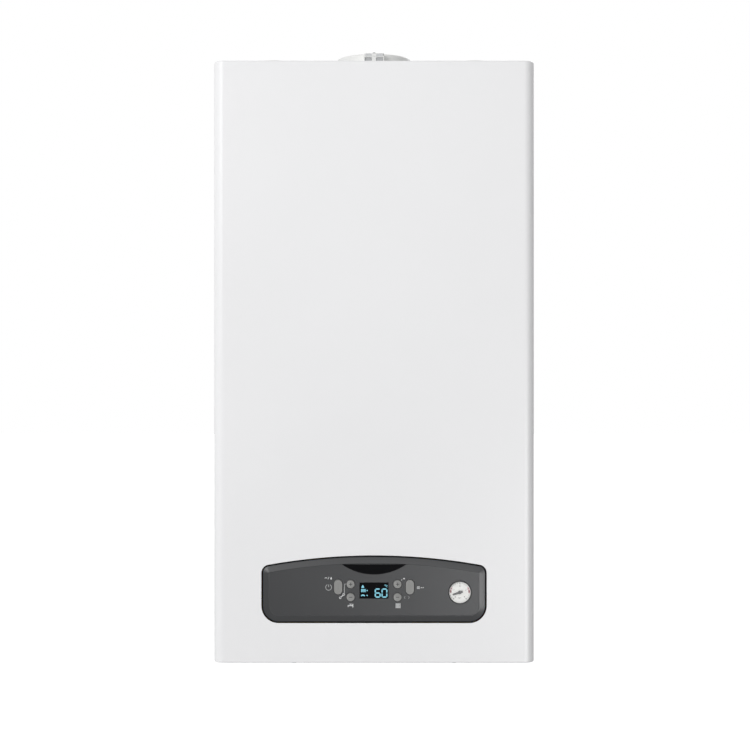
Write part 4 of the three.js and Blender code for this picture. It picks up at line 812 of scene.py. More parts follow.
def pan_screw(name, radius, rise, centre, axis):
    """A pan-head screw with a cross recess. It points along +Z or +Y, and its head is at the minus side."""
    crown = [(0, -rise), (radius * 0.55, -rise * 0.95), (radius * 0.86, -rise * 0.7), (radius, -rise * 0.3)]
    head = turned(name, [*crown, (radius, 0), (0, 0)], axis, centre, 32)
    x, y, z = centre
    slot = radius * 0.14
    reach = radius * 0.55
    deep = rise * 0.6
    bars = []
    for wide, tall in ((reach, slot), (slot, reach)):
        if axis == "Y":
            low, high = (x - wide, y - rise - 1, z - tall), (x + wide, y - rise + deep, z + tall)
        else:
            low, high = (x - wide, y - tall, z - rise - 1), (x + wide, y + tall, z - rise + deep)
        bars.append(block("recess", low, high))
    return cut(head, *bars)


class BOILER_OT_front_cover(bpy.types.Operator):
    """Models the folded front cover with its window and hooks"""

    bl_idname = "boiler.front_cover"
    bl_label = "Front cover"

    def execute(self, context):
        casing = setting("casing")
        sheet, lip = casing.sheet / MM, casing.lip / MM
        half = COVER_HIGH.x
        shell = block("front_cover_shell", COVER_LOW, COVER_HIGH)
        pick_edges(shell, lambda a, b: a.y < FRONT + 1 and b.y < FRONT + 1 and abs(a.z - b.z) > 1)
        bpy.ops.mesh.bevel(offset=casing.corner, offset_type="OFFSET", segments=14, profile=0.5)
        leave()
        pick_edges(
            shell,
            lambda a, b: abs(a.z - b.z) < 0.01
            and max(a.y, b.y) < COVER_REAR - 1
            or abs(a.z - b.z) < 0.01
            and abs(a.x - b.x) < 0.01
            and abs(a.x) > half - 0.01,
        )
        bpy.ops.mesh.bevel(offset=casing.fold, offset_type="OFFSET", segments=5, profile=0.5)
        leave()
        pick(shell, lambda centre, normal: normal.y > 0.9)
        bpy.ops.mesh.delete(type="FACE")
        leave()
        modified(shell, "SOLIDIFY", thickness=casing.sheet, offset=-1, use_even_offset=True)
        window = extruded("window", panel_outline(-casing.window_gap / MM), "Y", FRONT - 5, FRONT + 5)
        below = block(
            "below",
            (-half + sheet, FRONT + lip, -5),
            (half - sheet, COVER_REAR + 5, sheet + 2),
        )
        holes = [
            rod("hole", 2.4, (side * SCREW_X, FRONT + 14, -5), (side * SCREW_X, FRONT + 14, 5), 32)
            for side in (-1, 1)
        ]
        cut(shell, window, below, *holes)
        eased(shell, 0.3, 2, 50)
        hooks = []
        peg_y, peg_z = COVER_REAR - 2, HEIGHT - PEG_DROP
        for side in (-1, 1):
            x = side * HOOK_X
            hook = block("hook", (x - 2, peg_y - 7, peg_z - 3), (x + 2, peg_y + 2, HEIGHT - sheet / 2))
            cut(
                hook,
                rod("notch", 2.8, (x - 3, peg_y, peg_z), (x + 3, peg_y, peg_z), 32),
                block("notch", (x - 3, peg_y - 2.8, peg_z - 4), (x + 3, peg_y + 2.8, peg_z)),
            )
            hooks.append(eased(hook, 0.3))
        cover = joined("front_cover_sheet", [shell, *hooks])
        finished(cover, "front_cover", "white_paint", "front_cover")
        return {"FINISHED"}


class BOILER_OT_cover_screws(bpy.types.Operator):
    """Models the cover's two lower screws"""

    bl_idname = "boiler.cover_screws"
    bl_label = "Cover screws"

    def execute(self, context):
        low, high = corners("cover_screw_left")
        y = (low.y + high.y) / 2
        head = pan_screw("head", 4, -low.z, (-SCREW_X, y, 0), "Z")
        shank = thread("shank", 2, 0.7, -0.5, high.z, (-SCREW_X, y))
        screw = joined("cover_screw_left_shape", [head, shank])
        other = copied(screw, "cover_screw_right_shape", (2 * SCREW_X, 0, 0))
        finished(screw, "front_cover", "steel", "cover_screw_left")
        finished(other, "front_cover", "steel", "cover_screw_right")
        return {"FINISHED"}


def thread(name, radius, pitch, low, high, centre, bore=0.0, steps=48):
    """An upright threaded tube or bar: rings at the pitch of its thread, with a lead at its lower end."""
    x, y = centre
    root = radius - pitch * 0.55
    outline = [(bore, low), (root - pitch * 0.2, low)]
    z = low + pitch * 0.6
    while z + pitch < high - pitch:
        outline += [(root, z), (radius, z + pitch * 0.45), (radius, z + pitch * 0.6)]
        z += pitch
    outline += [(root, z), (root, high), (bore, high)]
    return turned(name, outline, "Z", (x, y, 0), steps)


class BOILER_OT_side_panels(bpy.types.Operator):
    """Models the two painted side panels"""

    bl_idname = "boiler.side_panels"
    bl_label = "Side panels"

    def execute(self, context):
        for side, word in ((-1, "left"), (1, "right")):
            node = "side_panel_" + word
            panel = refined(node, 0.45, 3)
            finished(panel, "boiler", "white_paint", node)
        return {"FINISHED"}


class BOILER_OT_top_panel(bpy.types.Operator):
    """Models the zinc-coated top panel"""

    bl_idname = "boiler.top_panel"
    bl_label = "Top panel"

    def execute(self, context):
        finished(refined("top_panel", 0.35), "boiler", "zinc_sheet", "top_panel")
        return {"FINISHED"}


class BOILER_OT_bottom_tray(bpy.types.Operator):
    """Models the bottom tray"""

    bl_idname = "boiler.bottom_tray"
    bl_label = "Bottom tray"

    def execute(self, context):
        finished(refined("bottom_tray", 0.35), "boiler", "zinc_sheet", "bottom_tray")
        return {"FINISHED"}


class BOILER_OT_back(bpy.types.Operator):
    """Models the rear frame with its pressed ribs and the wall rail"""

    bl_idname = "boiler.back"
    bl_label = "Rear frame and wall rail"

    def execute(self, context):
        frame_piece = refined("back_frame", 0.3)
        low, high = corners("back_frame")
        rib_rise = 1.4
        ribs = []
        for x in (-150, -75, 0, 75, 150):
            top = high.z - 100
            outline = rounded_box(x - 9, x + 9, low.z + 60, top, 8.9)
            rib = extruded("rib", outline, "Y", high.y - 0.2, high.y + rib_rise)
            ribs.append(eased(rib, 1.2, 3, 50))
        back = joined("back_frame_sheet", [frame_piece, *ribs])
        finished(back, "boiler", "zinc_sheet", "back_frame")
        finished(refined("wall_rail", 0.4), "boiler", "zinc_sheet", "wall_rail")
        return {"FINISHED"}


# ---------------------------------------------------------------- flue


class BOILER_OT_flue(bpy.types.Operator):
    """Models the flue collar with its test points, the inner spigot and the two air caps"""

    bl_idname = "boiler.flue"
    bl_label = "Flue collar and air caps"

    def execute(self, context):
        low, high = corners("flue_collar")
        foot = low.z + 2
        radius, wall, foot_radius = 50, 3, 65
        collar = turned(
            "flue_collar_ring",
            [
                (radius - wall, low.z),
                (radius - 0.3, low.z),
                (radius - 0.3, foot),
                (foot_radius, foot),
                (foot_radius, foot + 1.6),
                (foot_radius - 0.8, foot + 2.4),
                (radius + 2.2, foot + 2.4),
                (radius + 0.6, foot + 3),
                (radius, foot + 4.6),
                (radius, high.z - 5),
                (radius - 0.5, high.z - 1.4),
                (radius - 1.2, high.z - 0.4),
                (radius - 2, high.z),
                (radius - wall + 0.4, high.z),
                (radius - wall, high.z - 0.6),
            ],
            "Z",
            (0, COLLAR_Y, 0),
            96,
        )
        boss_rear, boss_front = COLLAR_Y - 47, COLLAR_Y - 60
        boss = block("boss", (-13, boss_front, foot + 0.5), (13, boss_rear, foot + 26))
        cut(
            boss,
            *[
                block(
                    "pocket",
                    (x - 4.4, boss_front - 1, foot + 5),
                    (x + 4.4, boss_front + 2.2, foot + 24.6),
                )
                for x in (-7.4, 7.4)
            ],
        )
        eased(boss, 0.6, 3)
        piece = joined("flue_collar_shape", [collar, boss])
        finished(piece, "boiler", "white_plastic", "flue_collar")
        # Grey inserts at the back of the boss's two pockets: painted shade standing for the shade inside the
        # hollow pockets.
        pocket_shades = [
            block(
                "pocket_shade_insert",
                (x - 4.2, boss_front + 1.2, foot + 5.2),
                (x + 4.2, boss_front + 2.1, foot + 24.4),
            )
            for x in (-7.4, 7.4)
        ]
        finished(joined("flue_port_pocket_shade", pocket_shades), "boiler", "white_plastic", finish="pocket_shade_grey")

        cap_low, cap_high = corners("sampling_cap")
        seat = cap_high.z - 4
        bridge = extruded(
            "bridge",
            rounded_box(cap_low.x, cap_high.x, cap_low.y, cap_high.y, 3.5),
            "Z",
            seat,
            cap_high.z,
        )
        cut(
            bridge,
            *[
                block(
                    "pocket",
                    (x - 4.4, cap_low.y - 1, seat - 1),
                    (x + 4.4, cap_low.y + 0.7, cap_high.z - 0.7),
                )
                for x in (-7.4, 7.4)
            ],
        )
        eased(bridge, 0.4, 3)
        # Light grey inserts at the back of the cap's two pockets: painted shade on the cap's front.
        faces = [
            block(
                "pocket_shade_insert",
                (x - 4.2, cap_low.y + 0.3, seat + 0.1),
                (x + 4.2, cap_low.y + 0.6, cap_high.z - 0.8),
            )
            for x in (-7.4, 7.4)
        ]
        finished(joined("flue_cap_pocket_shade", faces), "boiler", "white_plastic", finish="pocket_shade_light")
        plugs = [
            rod("plug", 3.6, (side * 7, PORT_Y, cap_low.z), (side * 7, PORT_Y, seat + 0.5), 48)
            for side in (-1, 1)
        ]
        cap = joined("sampling_cap_shape", [bridge, *plugs])
        finished(cap, "boiler", "white_plastic", "sampling_cap")
        screw = turned(
            "sampling_screw_shape",
            [
                (0, cap_low.z - 2),
                (1.2, cap_low.z - 2),
                (1.2, cap_high.z - 0.2),
                (2.3, cap_high.z - 0.2),
                (2.3, cap_high.z + 0.7),
                (1.7, cap_high.z + 1.3),
                (0, cap_high.z + 1.3),
            ],
            "Z",
            (0, cap_low.y + 3.4, 0),
            32,
        )
        slot_y = cap_low.y + 3.4
        cut(screw, block("slot", (-3, slot_y - 0.4, cap_high.z + 0.6), (3, slot_y + 0.4, cap_high.z + 2)))
        finished(screw, "boiler", "steel", "sampling_screw", finish="dark_steel")

        spigot_low, spigot_high = corners("flue_spigot")
        outer, inner = spigot_high.x, spigot_high.x - 1.5
        top, bottom = spigot_high.z, spigot_low.z
        spigot = turned(
            "flue_spigot_shape",
            [
                (inner, bottom),
                (outer, bottom),
                (outer, top - 9),
                (outer - 0.7, top - 8),
                (outer - 0.7, top - 6),
                (outer, top - 5),
                (outer, top - 0.4),
                (outer - 0.4, top),
                (inner, top),
            ],
            "Z",
            (0, COLLAR_Y, 0),
            96,
        )
        finished(spigot, "boiler", "cast_aluminium", "flue_spigot")
        self.air_caps()
        return {"FINISHED"}

    def air_caps(self):
        """The two plugs over the unused air intakes: a round lid with grip notches and a raised bar."""
        low, high = corners("air_cap_left")
        seat = low.z + 2.2
        x, y = (low.x + high.x) / 2, (low.y + high.y) / 2
        radius = (high.x - low.x) / 2
        top = high.z
        lid = turned(
            "air_cap_left_shape",
            [
                (0, low.z),
                (25, low.z),
                (25, seat),
                (radius - 0.4, seat),
                (radius, seat + 0.5),
                (radius, seat + 3.2),
                (radius - 1.8, seat + 4),
                (radius - 2.4, top - 3),
                (radius - 3.2, top - 0.9),
                (radius - 4.6, top),
                (radius - 8, top),
                (radius - 8.8, top - 1.6),
                (0, top - 1.6),
            ],
            "Z",
            (x, y, 0),
            96,
        )
        notches = []
        for i in range(12):
            angle = 2 * math.pi * i / 12
            reach = radius - 1.2
            spot = (x + reach * math.cos(angle), y + reach * math.sin(angle))
            notches.append(rod("notch", 1.6, (*spot, seat + 4.4), (*spot, top + 2), 16))
        cut(lid, joined("notches", notches))
        grip = block("grip", (x - 18, y - 2, top - 3), (x + 18, y + 2, top))
        fused(lid, eased(grip, 0.8, 3))
        other = copied(lid, "air_cap_right_shape", (-2 * x, 0, 0))
        finished(lid, "boiler", "white_plastic", "air_cap_left")
        finished(other, "boiler", "white_plastic", "air_cap_right")


# ---------------------------------------------------------------- control panel


FACE = FRONT - 1.15
INK = 0.06


def printed(name, outlines, front=FACE, body="control_box", slot="fascia_grey", finish="ink_light"):
    """Outlines in the front plane, printed a hair proud of a surface."""
    marks = [extruded("mark", outline, "Y", front - INK, front + INK) for outline in outlines]
    return finished(joined(name, marks), body, slot, finish=finish)


class BOILER_OT_fascia(bpy.types.Operator):
    """Models the control panel's face with its band, step and openings"""

    bl_idname = "boiler.fascia"
    bl_label = "Panel face"

    def execute(self, context):
        panel = setting("panel")
        rear = FASCIA_HIGH.y
        edge = 1.3
        crest = FACE - panel.step / MM
        rim = crest + panel.band_fall / MM + 1.4
        face = extruded("fascia_shape", panel_outline(0), "Y", rim, rear)
        pick(face, lambda centre, normal: normal.y < -0.9)
        bpy.ops.mesh.inset(thickness=edge * 0.4 * MM, depth=0.9 * MM)
        bpy.ops.mesh.inset(thickness=edge * 0.6 * MM, depth=0.5 * MM)
        bpy.ops.mesh.inset(thickness=panel.band, depth=panel.band_fall)
        bpy.ops.mesh.inset(thickness=0.5 * MM, depth=0)
        bpy.ops.mesh.inset(thickness=0.5 * MM, depth=-panel.step)
        leave()
        low, high = corners("display")
        tools = [
            extruded(
                "opening",
                rounded_box(low.x - 0.3, high.x + 0.3, low.z - 0.3, high.z + 0.3, 0.6, 4),
                "Y",
                FRONT - 5,
                rear + 2,
            ),
            extruded("opening", inlay_outline(0.3), "Y", FRONT - 5, corners("inlay_plate")[1].y),
        ]
        for node, shape in OPENINGS.items():
            tools.append(extruded("opening", shape(node, 0.4), "Y", FRONT - 5, rear + 2))
        cut(face, *tools)
        eased(face, 0.18, 2, 22)
        finished(face, "control_box", "fascia_grey", "fascia")
        # Painted shade: the steep side walls and the walls of the openings get the near-black finish, standing
        # for the shade in the gaps round the panel and its buttons.
        face.data.materials.append(FINISHES["gap_shade_black"])
        for side in face.data.polygons:
            side.material_index = int(side.normal.y > -0.6)
        return {"FINISHED"}


def round_outline(node, grow):
    """A circle as wide as the front of a node that shows in the panel."""
    low, high = corners(node)
    radius = (high.z - low.z) / 2 + grow - FLANGES.get(node, 0)
    return arc((low.x + high.x) / 2, (low.z + high.z) / 2, radius, 0, 360, 63)[:-1]


def oblong_outline(node, grow):
    """A stadium as wide as the front of an oblong button."""
    low, high = corners(node)
    flange = FLANGES[node]
    left, right = low.x + flange - grow, high.x - flange + grow
    return rounded_box(left, right, low.z + flange - grow, high.z - flange + grow, (right - left) / 2.001, 24)


BUTTON_FLANGE = 1.4
GAUGE_CASE = 2.8
FLANGES = {"gauge_body": GAUGE_CASE}
OPENINGS = {"gauge_body": round_outline}
for level in ("upper", "lower"):
    for word in ("left", "right"):
        FLANGES["button_" + level + "_" + word] = BUTTON_FLANGE
        OPENINGS["button_" + level + "_" + word] = round_outline
for word in ("left", "right"):
    FLANGES["button_oblong_" + word] = BUTTON_FLANGE
    OPENINGS["button_oblong_" + word] = oblong_outline


class BOILER_OT_inlay(bpy.types.Operator):
    """Models the polished lens-shaped inlay"""

    bl_idname = "boiler.inlay"
    bl_label = "Inlay"

    def execute(self, context):
        low, high = corners("inlay_plate")
        plate = extruded("inlay_plate_shape", inlay_outline(-0.05), "Y", low.y, high.y)
        finished(eased(plate, 0.2, 3, 40), "control_box", "gloss_black", "inlay_plate")
        return {"FINISHED"}


# Which of the seven strokes each digit lights: top, upper right, lower right, bottom, lower left,
# upper left and middle.
DIGITS = {
    "0": "1111110",
    "1": "0110000",
    "2": "1101101",
    "3": "1111001",
    "4": "0110011",
    "5": "1011011",
    "6": "1011111",
    "7": "1110000",
    "8": "1111111",
    "9": "1111011",
}


def seven_segments(digit, left, low, width, height, weight):
    """The lit strokes of one digit as outlines."""
    right, high, middle = left + width, low + height, low + height / 2
    gap = weight * 0.16
    flat = [(left, high, right, high), (left, low, right, low), (left, middle, right, middle)]
    upright = [
        (right, high, right, middle),
        (right, middle, right, low),
        (left, middle, left, low),
        (left, high, left, middle),
    ]
    order = [flat[0], upright[0], upright[1], flat[1], upright[2], upright[3], flat[2]]
    outlines = []
    for on, (x0, z0, x1, z1) in zip(DIGITS[digit], order):
        if on == "0":
            continue
        run = Vector((x1 - x0, z1 - z0)).normalized()
        side = Vector((-run.y, run.x)) * weight / 2
        start = Vector((x0, z0)) + run * gap
        end = Vector((x1, z1)) - run * gap
        inner = run * weight / 2
        outlines.append(
            [
                tuple(p)
                for p in (
                    start,
                    start + inner + side,
                    end - inner + side,
                    end,
                    end - inner - side,
                    start + inner - side,
                )
            ]
        )
    return outlines


class BOILER_OT_display(bpy.types.Operator):
    """Models the display's dark glass with its lit number and symbols"""

    bl_idname = "boiler.display"
    bl_label = "Display"

    def execute(self, context):
        low, high = corners("display")
        glass = extruded(
            "display_glass", rounded_box(low.x, high.x, low.z, high.z, 0.5, 4), "Y", low.y, high.y
        )
        finished(eased(glass, 0.15, 2, 40), "control_box", "gloss_black", "display")
        centre = (low.z + high.z) / 2
        digits = []
        for i, digit in enumerate(setting("panel").shown):
            digits += seven_segments(digit, 1.6 + i * 8.4, centre - 8.1, 5.9, 10.0, 1.55)
        printed("display_number", digits, low.y, "control_box", "gloss_black", "glow")
        flame = [(-15.8, 3.3), (-12.2, 3.3), (-12.6, 5.2), (-14, 7.2), (-15.4, 5.2)]
        radiator = [
            [(x, -1.9), (x + 1.0, -1.9), (x + 1.0, 1.9), (x, 1.9)] for x in (-16, -14.5, -13, -11.5)
        ]
        marks = [
            flame,
            *radiator,
            [(-16, 1.1), (-10.5, 1.1), (-10.5, 0.4), (-16, 0.4)],
            arc_band(-13.8, -7.4, 2.0, 1.2, 10, 170, 12),
            stroke(-16.2, -6.2, -11.2, -6.2, 0.8),
            arc(-8.6, 0, 0.8, 0, 360, 16)[:-1],
            arc(-8.6, -6, 0.8, 0, 360, 16)[:-1],
            arc_band(14.0, 6.6, 0.7, 0.45, 0, 350, 16),
            arc_band(16.2, 5.4, 1.0, 0.5, 50, 310, 12),
        ]
        shifted = [[(x, z + centre) for x, z in mark] for mark in marks]
        printed("display_symbols", shifted, low.y, "control_box", "gloss_black", "glow")
        return {"FINISHED"}


class BOILER_OT_buttons(bpy.types.Operator):
    """Models the six buttons with their marks"""

    bl_idname = "boiler.buttons"
    bl_label = "Buttons"

    def execute(self, context):
        for word in ("left", "right"):
            for level in ("upper", "lower"):
                self.round_button("button_" + level + "_" + word, level == "upper")
            self.oblong_button("button_oblong_" + word)
        return {"FINISHED"}

    def round_button(self, node, plus):
        """A round cap with a shallow dish, and a plus or a minus on it."""
        low, high = corners(node)
        x, z = (low.x + high.x) / 2, (low.z + high.z) / 2
        radius = (high.x - low.x) / 2 - BUTTON_FLANGE
        flange = high.y - 1.2
        cap = turned(
            node + "_cap",
            [
                (0, high.y),
                (radius + BUTTON_FLANGE, high.y),
                (radius + BUTTON_FLANGE, flange),
                (radius, flange),
                (radius, low.y + 0.75),
                (radius - 0.18, low.y + 0.3),
                (radius - 0.55, low.y + 0.04),
                (radius - 0.9, low.y),
                (radius - 1.6, low.y + 0.05),
                (radius * 0.45, low.y + 0.28),
                (0, low.y + 0.34),
            ],
            "Y",
            (x, 0, z),
            64,
        )
        finished(cap, node, "button_grey", node)
        bars = [stroke(x - 2.1, z, x + 2.1, z, 0.75)]
        if plus:
            bars.append(stroke(x, z - 2.1, x, z + 2.1, 0.75))
        printed(node + "_mark", bars, low.y + 0.3, node, "button_grey", "ink_dark")

    def oblong_button(self, node):
        """A stadium-shaped cap with a rounded edge."""
        low, high = corners(node)
        cap = extruded(node + "_cap", oblong_outline(node, 0), "Y", low.y, high.y - 1)
        pick(cap, lambda centre, normal: normal.y < -0.9)
        bpy.ops.mesh.bevel(offset=0.7 * MM, segments=4, profile=0.5)
        leave()
        flange = extruded("flange", oblong_outline(node, BUTTON_FLANGE), "Y", high.y - 1.2, high.y)
        finished(joined(node + "_cap", [cap, flange]), node, "button_grey", node)


class BOILER_OT_gauge(bpy.types.Operator):
    """Models the pressure gauge: case, dial with its scale, needle and lens"""

    bl_idname = "boiler.gauge"
    bl_label = "Pressure gauge"

    def execute(self, context):
        low, high = corners("gauge_body")
        x, z = (low.x + high.x) / 2, (low.z + high.z) / 2
        case = (high.x - low.x) / 2
        radius = case - GAUGE_CASE
        ring = 0.8
        dial = FACE + 1.85
        body = turned(
            "gauge_case",
            [
                (0, high.y),
                (5, high.y),
                (5, high.y - 4),
                (case - 1, high.y - 4),
                (case, high.y - 5),
                (case, FASCIA_HIGH.y),
                (radius, FASCIA_HIGH.y),
                (radius, low.y + 0.3),
                (radius - 0.3, low.y),
                (radius - ring + 0.1, low.y),
                (radius - ring, low.y + 0.1),
                (radius - ring, dial),
                (0, dial),
            ],
            "Y",
            (x, 0, z),
            96,
        )
        finished(body, "control_box", "black_plastic", finish="black_plastic")
        plate = turned(
            "gauge_dial",
            [
                (0, dial + 0.2),
                (radius - ring + 0.1, dial + 0.2),
                (radius - ring + 0.1, dial - 0.3),
                (0, dial - 0.3),
            ],
            "Y",
            (x, 0, z),
            96,
        )
        finished(plate, "control_box", "dial_white", "gauge_body")
        face = dial - 0.3
        pin = rod("gauge_spindle", 0.9, (x, face + 0.1, z), (x, FACE + 0.6, z), 32)
        finished(pin, "control_box", "steel")
        self.scale(x, z, radius - ring, face)
        self.needle()
        self.lens(x, z)
        return {"FINISHED"}

    def scale(self, x, z, radius, face):
        """Ticks from the empty stop round to the full one, with red limits and pale red sectors."""
        ticks = []
        for i in range(21):
            angle = math.radians(225 - 13.5 * i)
            long = i % 5 == 0
            inner, outer = radius * (0.76 if long else 0.83), radius * 0.9
            ticks.append(
                stroke(
                    x + inner * math.cos(angle),
                    z + inner * math.sin(angle),
                    x + outer * math.cos(angle),
                    z + outer * math.sin(angle),
                    0.75 if long else 0.32,
                )
            )
        printed("gauge_ticks", ticks, face, "control_box", "dial_white", "ink_dark")
        sectors = [
            arc_band(x, z, radius * 0.86, 1.9, 148, 186, 16),
            arc_band(x, z, radius * 0.86, 1.9, -6, 32, 16),
        ]
        printed("gauge_sectors", sectors, face + 0.03, "control_box", "dial_white", "ink_pink")
        limits = [
            arc_band(x, z, radius * 0.86, 2.2, 168, 181, 6),
            arc_band(x, z, radius * 0.86, 2.2, -1, 12, 6),
        ]
        printed("gauge_limits", limits, face - 0.02, "control_box", "dial_white", "ink_red")
        labels = [(str(i), math.radians(225 - 67.5 * i)) for i in range(5)]
        made = []
        for text, angle in labels:
            reach = radius * 0.6
            made.append(self.text(text, x + reach * math.cos(angle), z + reach * math.sin(angle), 3.1, face))
        made.append(self.text("bar", x, z - radius * 0.52, 2.6, face))
        finished(joined("gauge_numbers", made), "control_box", "dial_white", finish="ink_dark")

    def text(self, words, x, z, size, face):
        """Generic lettering, centred on a place of the dial."""
        bpy.ops.object.select_all(action="DESELECT")
        bpy.ops.object.text_add()
        made = bpy.context.object
        made.data.body = words
        made.data.size = size * MM
        made.data.align_x = "CENTER"
        made.data.align_y = "CENTER"
        made.data.extrude = INK * MM
        bpy.ops.object.convert(target="MESH")
        made.location = at(x, face, z)
        made.rotation_euler = (math.pi / 2, 0, 0)
        return settled("lettering")

    def needle(self):
        """A tapered blade with a tail and a hub, turned to its rest place as the CAD needle is."""
        low, high = corners("gauge_needle")
        gauge_low, gauge_high = corners("gauge_body")
        x, z = (gauge_low.x + gauge_high.x) / 2, (gauge_low.z + gauge_high.z) / 2
        angle = math.atan2(low.z - z + 0.24, low.x - x)
        tip, tail = 9.6, 3.4
        along = Vector((math.cos(angle), math.sin(angle)))
        across = Vector((-along.y, along.x))
        corner_places = [(-tail, -1.5), (-tail * 0.4, -1.0), (0, -1.5), (tip * 0.9, -0.95), (tip, -0.3)]
        corner_places += [(u, -v) for u, v in reversed(corner_places)]
        outline = [tuple(Vector((x, z)) + along * u + across * v) for u, v in corner_places]
        blade = extruded("blade", outline, "Y", low.y + 0.15, low.y + 0.6)
        hub = turned(
            "hub",
            [(0, low.y), (1.6, low.y), (2.2, low.y + 0.35), (2.2, high.y), (0, high.y)],
            "Y",
            (x, 0, z),
            40,
        )
        piece = joined("gauge_needle_shape", [blade, hub])
        finished(piece, "gauge_needle", "black_plastic", "gauge_needle")

    def lens(self, x, z):
        """A clear window, slightly crowned."""
        low, high = corners("gauge_lens")
        radius = (high.x - low.x) / 2
        crown = [
            (radius * s, low.y + 0.3 * s * s) for s in (0, 0.2, 0.4, 0.6, 0.8, 0.95, 1)
        ]
        window = turned("gauge_lens_shape", [*crown, (radius, high.y), (0, high.y)], "Y", (x, 0, z), 64)
        finished(window, "control_box", "clear_plastic", "gauge_lens")


class BOILER_OT_symbols(bpy.types.Operator):
    """Prints the generic symbols on the control panel"""

    bl_idname = "boiler.symbols"
    bl_label = "Printed symbols"

    def execute(self, context):
        power_x, power_z = -56.5, 94.6
        grey = [
            arc_band(power_x, power_z, 3.6, 0.8, 118, 422, 32),
            stroke(power_x, power_z + 0.4, power_x, power_z + 3.4, 0.8),
            stroke(-36.9, 86.8, -36.9, 98.6, 0.9),
            stroke(-36.9, 98.6, -35.2, 98.6, 0.9),
            rounded_frame(40.7, 81.9, 6.4, 2.8, 0.5)[0],
            rounded_frame(40.7, 81.9, 6.4, 2.8, 0.5)[1],
        ]
        printed("panel_symbols_grey", grey, finish="ink_grey")
        tap_x, tap_z = -29.3, 71.5
        radiator_x, radiator_z = 29.9, 71.7
        light = [
            arc_band(-59.8, 104.6, 1.9, 0.7, 40, 140, 12),
            stroke(-57.2, 104.6, -55.9, 107.6, 0.55),
            flame(-53.4, 106, 3.4),
            stroke(-41.4, 82.1, -38.4, 85.1, 1.1),
            arc_band(-41.9, 81.6, 1.1, 0.8, 60, 350, 12),
            arc_band(-37.9, 85.6, 1.1, 0.8, -120, 170, 12),
            stroke(tap_x - 3.2, tap_z + 0.4, tap_x + 2.4, tap_z + 0.4, 1.3),
            stroke(tap_x - 2.9, tap_z + 0.8, tap_x - 2.9, tap_z - 1.4, 1.1),
            stroke(tap_x + 0.2, tap_z + 0.6, tap_x + 0.2, tap_z + 2.2, 0.8),
            stroke(tap_x - 1.4, tap_z + 2.3, tap_x + 1.8, tap_z + 2.3, 0.7),
            stroke(tap_x + 2.9, tap_z - 1.9, tap_x + 2.9, tap_z + 2.5, 1.1),
            *[
                stroke(radiator_x + dx, radiator_z - 3, radiator_x + dx, radiator_z + 3, 1.1)
                for dx in (-2.4, -0.8, 0.8, 2.4)
            ],
            stroke(radiator_x - 2.9, radiator_z + 1.9, radiator_x + 2.9, radiator_z + 1.9, 0.6),
            stroke(radiator_x - 2.9, radiator_z - 1.9, radiator_x + 2.9, radiator_z - 1.9, 0.6),
            arc(37.3, 105.4, 0.95, 0, 360, 20)[:-1],
            stroke(34.0, 103.2, 35.2, 104.6, 0.5),
            *[stroke(53.4, 94.2 + dz, 56.8, 94.2 + dz, 0.6) for dz in (-1.2, 0, 1.2)],
            *[arc(x, 94.2, 0.65, 0, 360, 16)[:-1] for x in (58.8, 60.9)],
        ]
        printed("panel_symbols_light", light)
        return {"FINISHED"}


def rounded_frame(x, z, width, height, weight):
    """The two halves of an outlined capsule."""
    half, rise = width / 2 - height / 2, height / 2 - weight / 2
    left = arc_band(x - half, z, rise, weight, 90, 270, 12)
    right = arc_band(x + half, z, rise, weight, -90, 90, 12)
    return left, right


def flame(x, z, height):
    """A small flame."""
    half = height * 0.34
    return [
        (x, z + height / 2),
        (x + half * 0.7, z + height * 0.1),
        (x + half, z - height * 0.2),
        (x + half * 0.5, z - height / 2),
        (x - half * 0.5, z - height / 2),
        (x - half, z - height * 0.2),
        (x - half * 0.5, z + height * 0.1),
    ]


class BOILER_OT_control_box(bpy.types.Operator):
    """Models the box behind the panel and its circuit board"""

    bl_idname = "boiler.control_box"
    bl_label = "Control box"

    def execute(self, context):
        finished(refined("control_box", 0.5, 3), "control_box", "black_plastic", "control_box")
        finished(refined("circuit_board", 0.15), "control_box", "board_green", "circuit_board")
        return {"FINISHED"}


# ---------------------------------------------------------------- what is inside and below


class BOILER_OT_unions(bpy.types.Operator):
    """Models the threads of the five pipe unions under the boiler and their washers"""

    bl_idname = "boiler.unions"
    bl_label = "Pipe unions"

    def execute(self, context):
        unions = ((-133, 13, "brass"), (-67, 10.5, "brass"), (0, 13, "cast_aluminium"))
        for x, radius, slot in (*unions, (67, 10.5, "brass"), (133, 13, "brass")):
            sleeve = thread(
                "union_thread", radius + 0.5, 1.8, -24.9, -3, (x, STUB_Y), radius - 0.5, 64
            )
            washer = turned(
                "union_washer",
                [(radius - 0.4, 4.6), (radius + 5, 4.6), (radius + 5, 5.8), (radius - 0.4, 5.8)],
                "Z",
                (x, STUB_Y, 0),
            )
            finished(sleeve, "boiler", slot)
            finished(washer, "boiler", "steel")
        return {"FINISHED"}


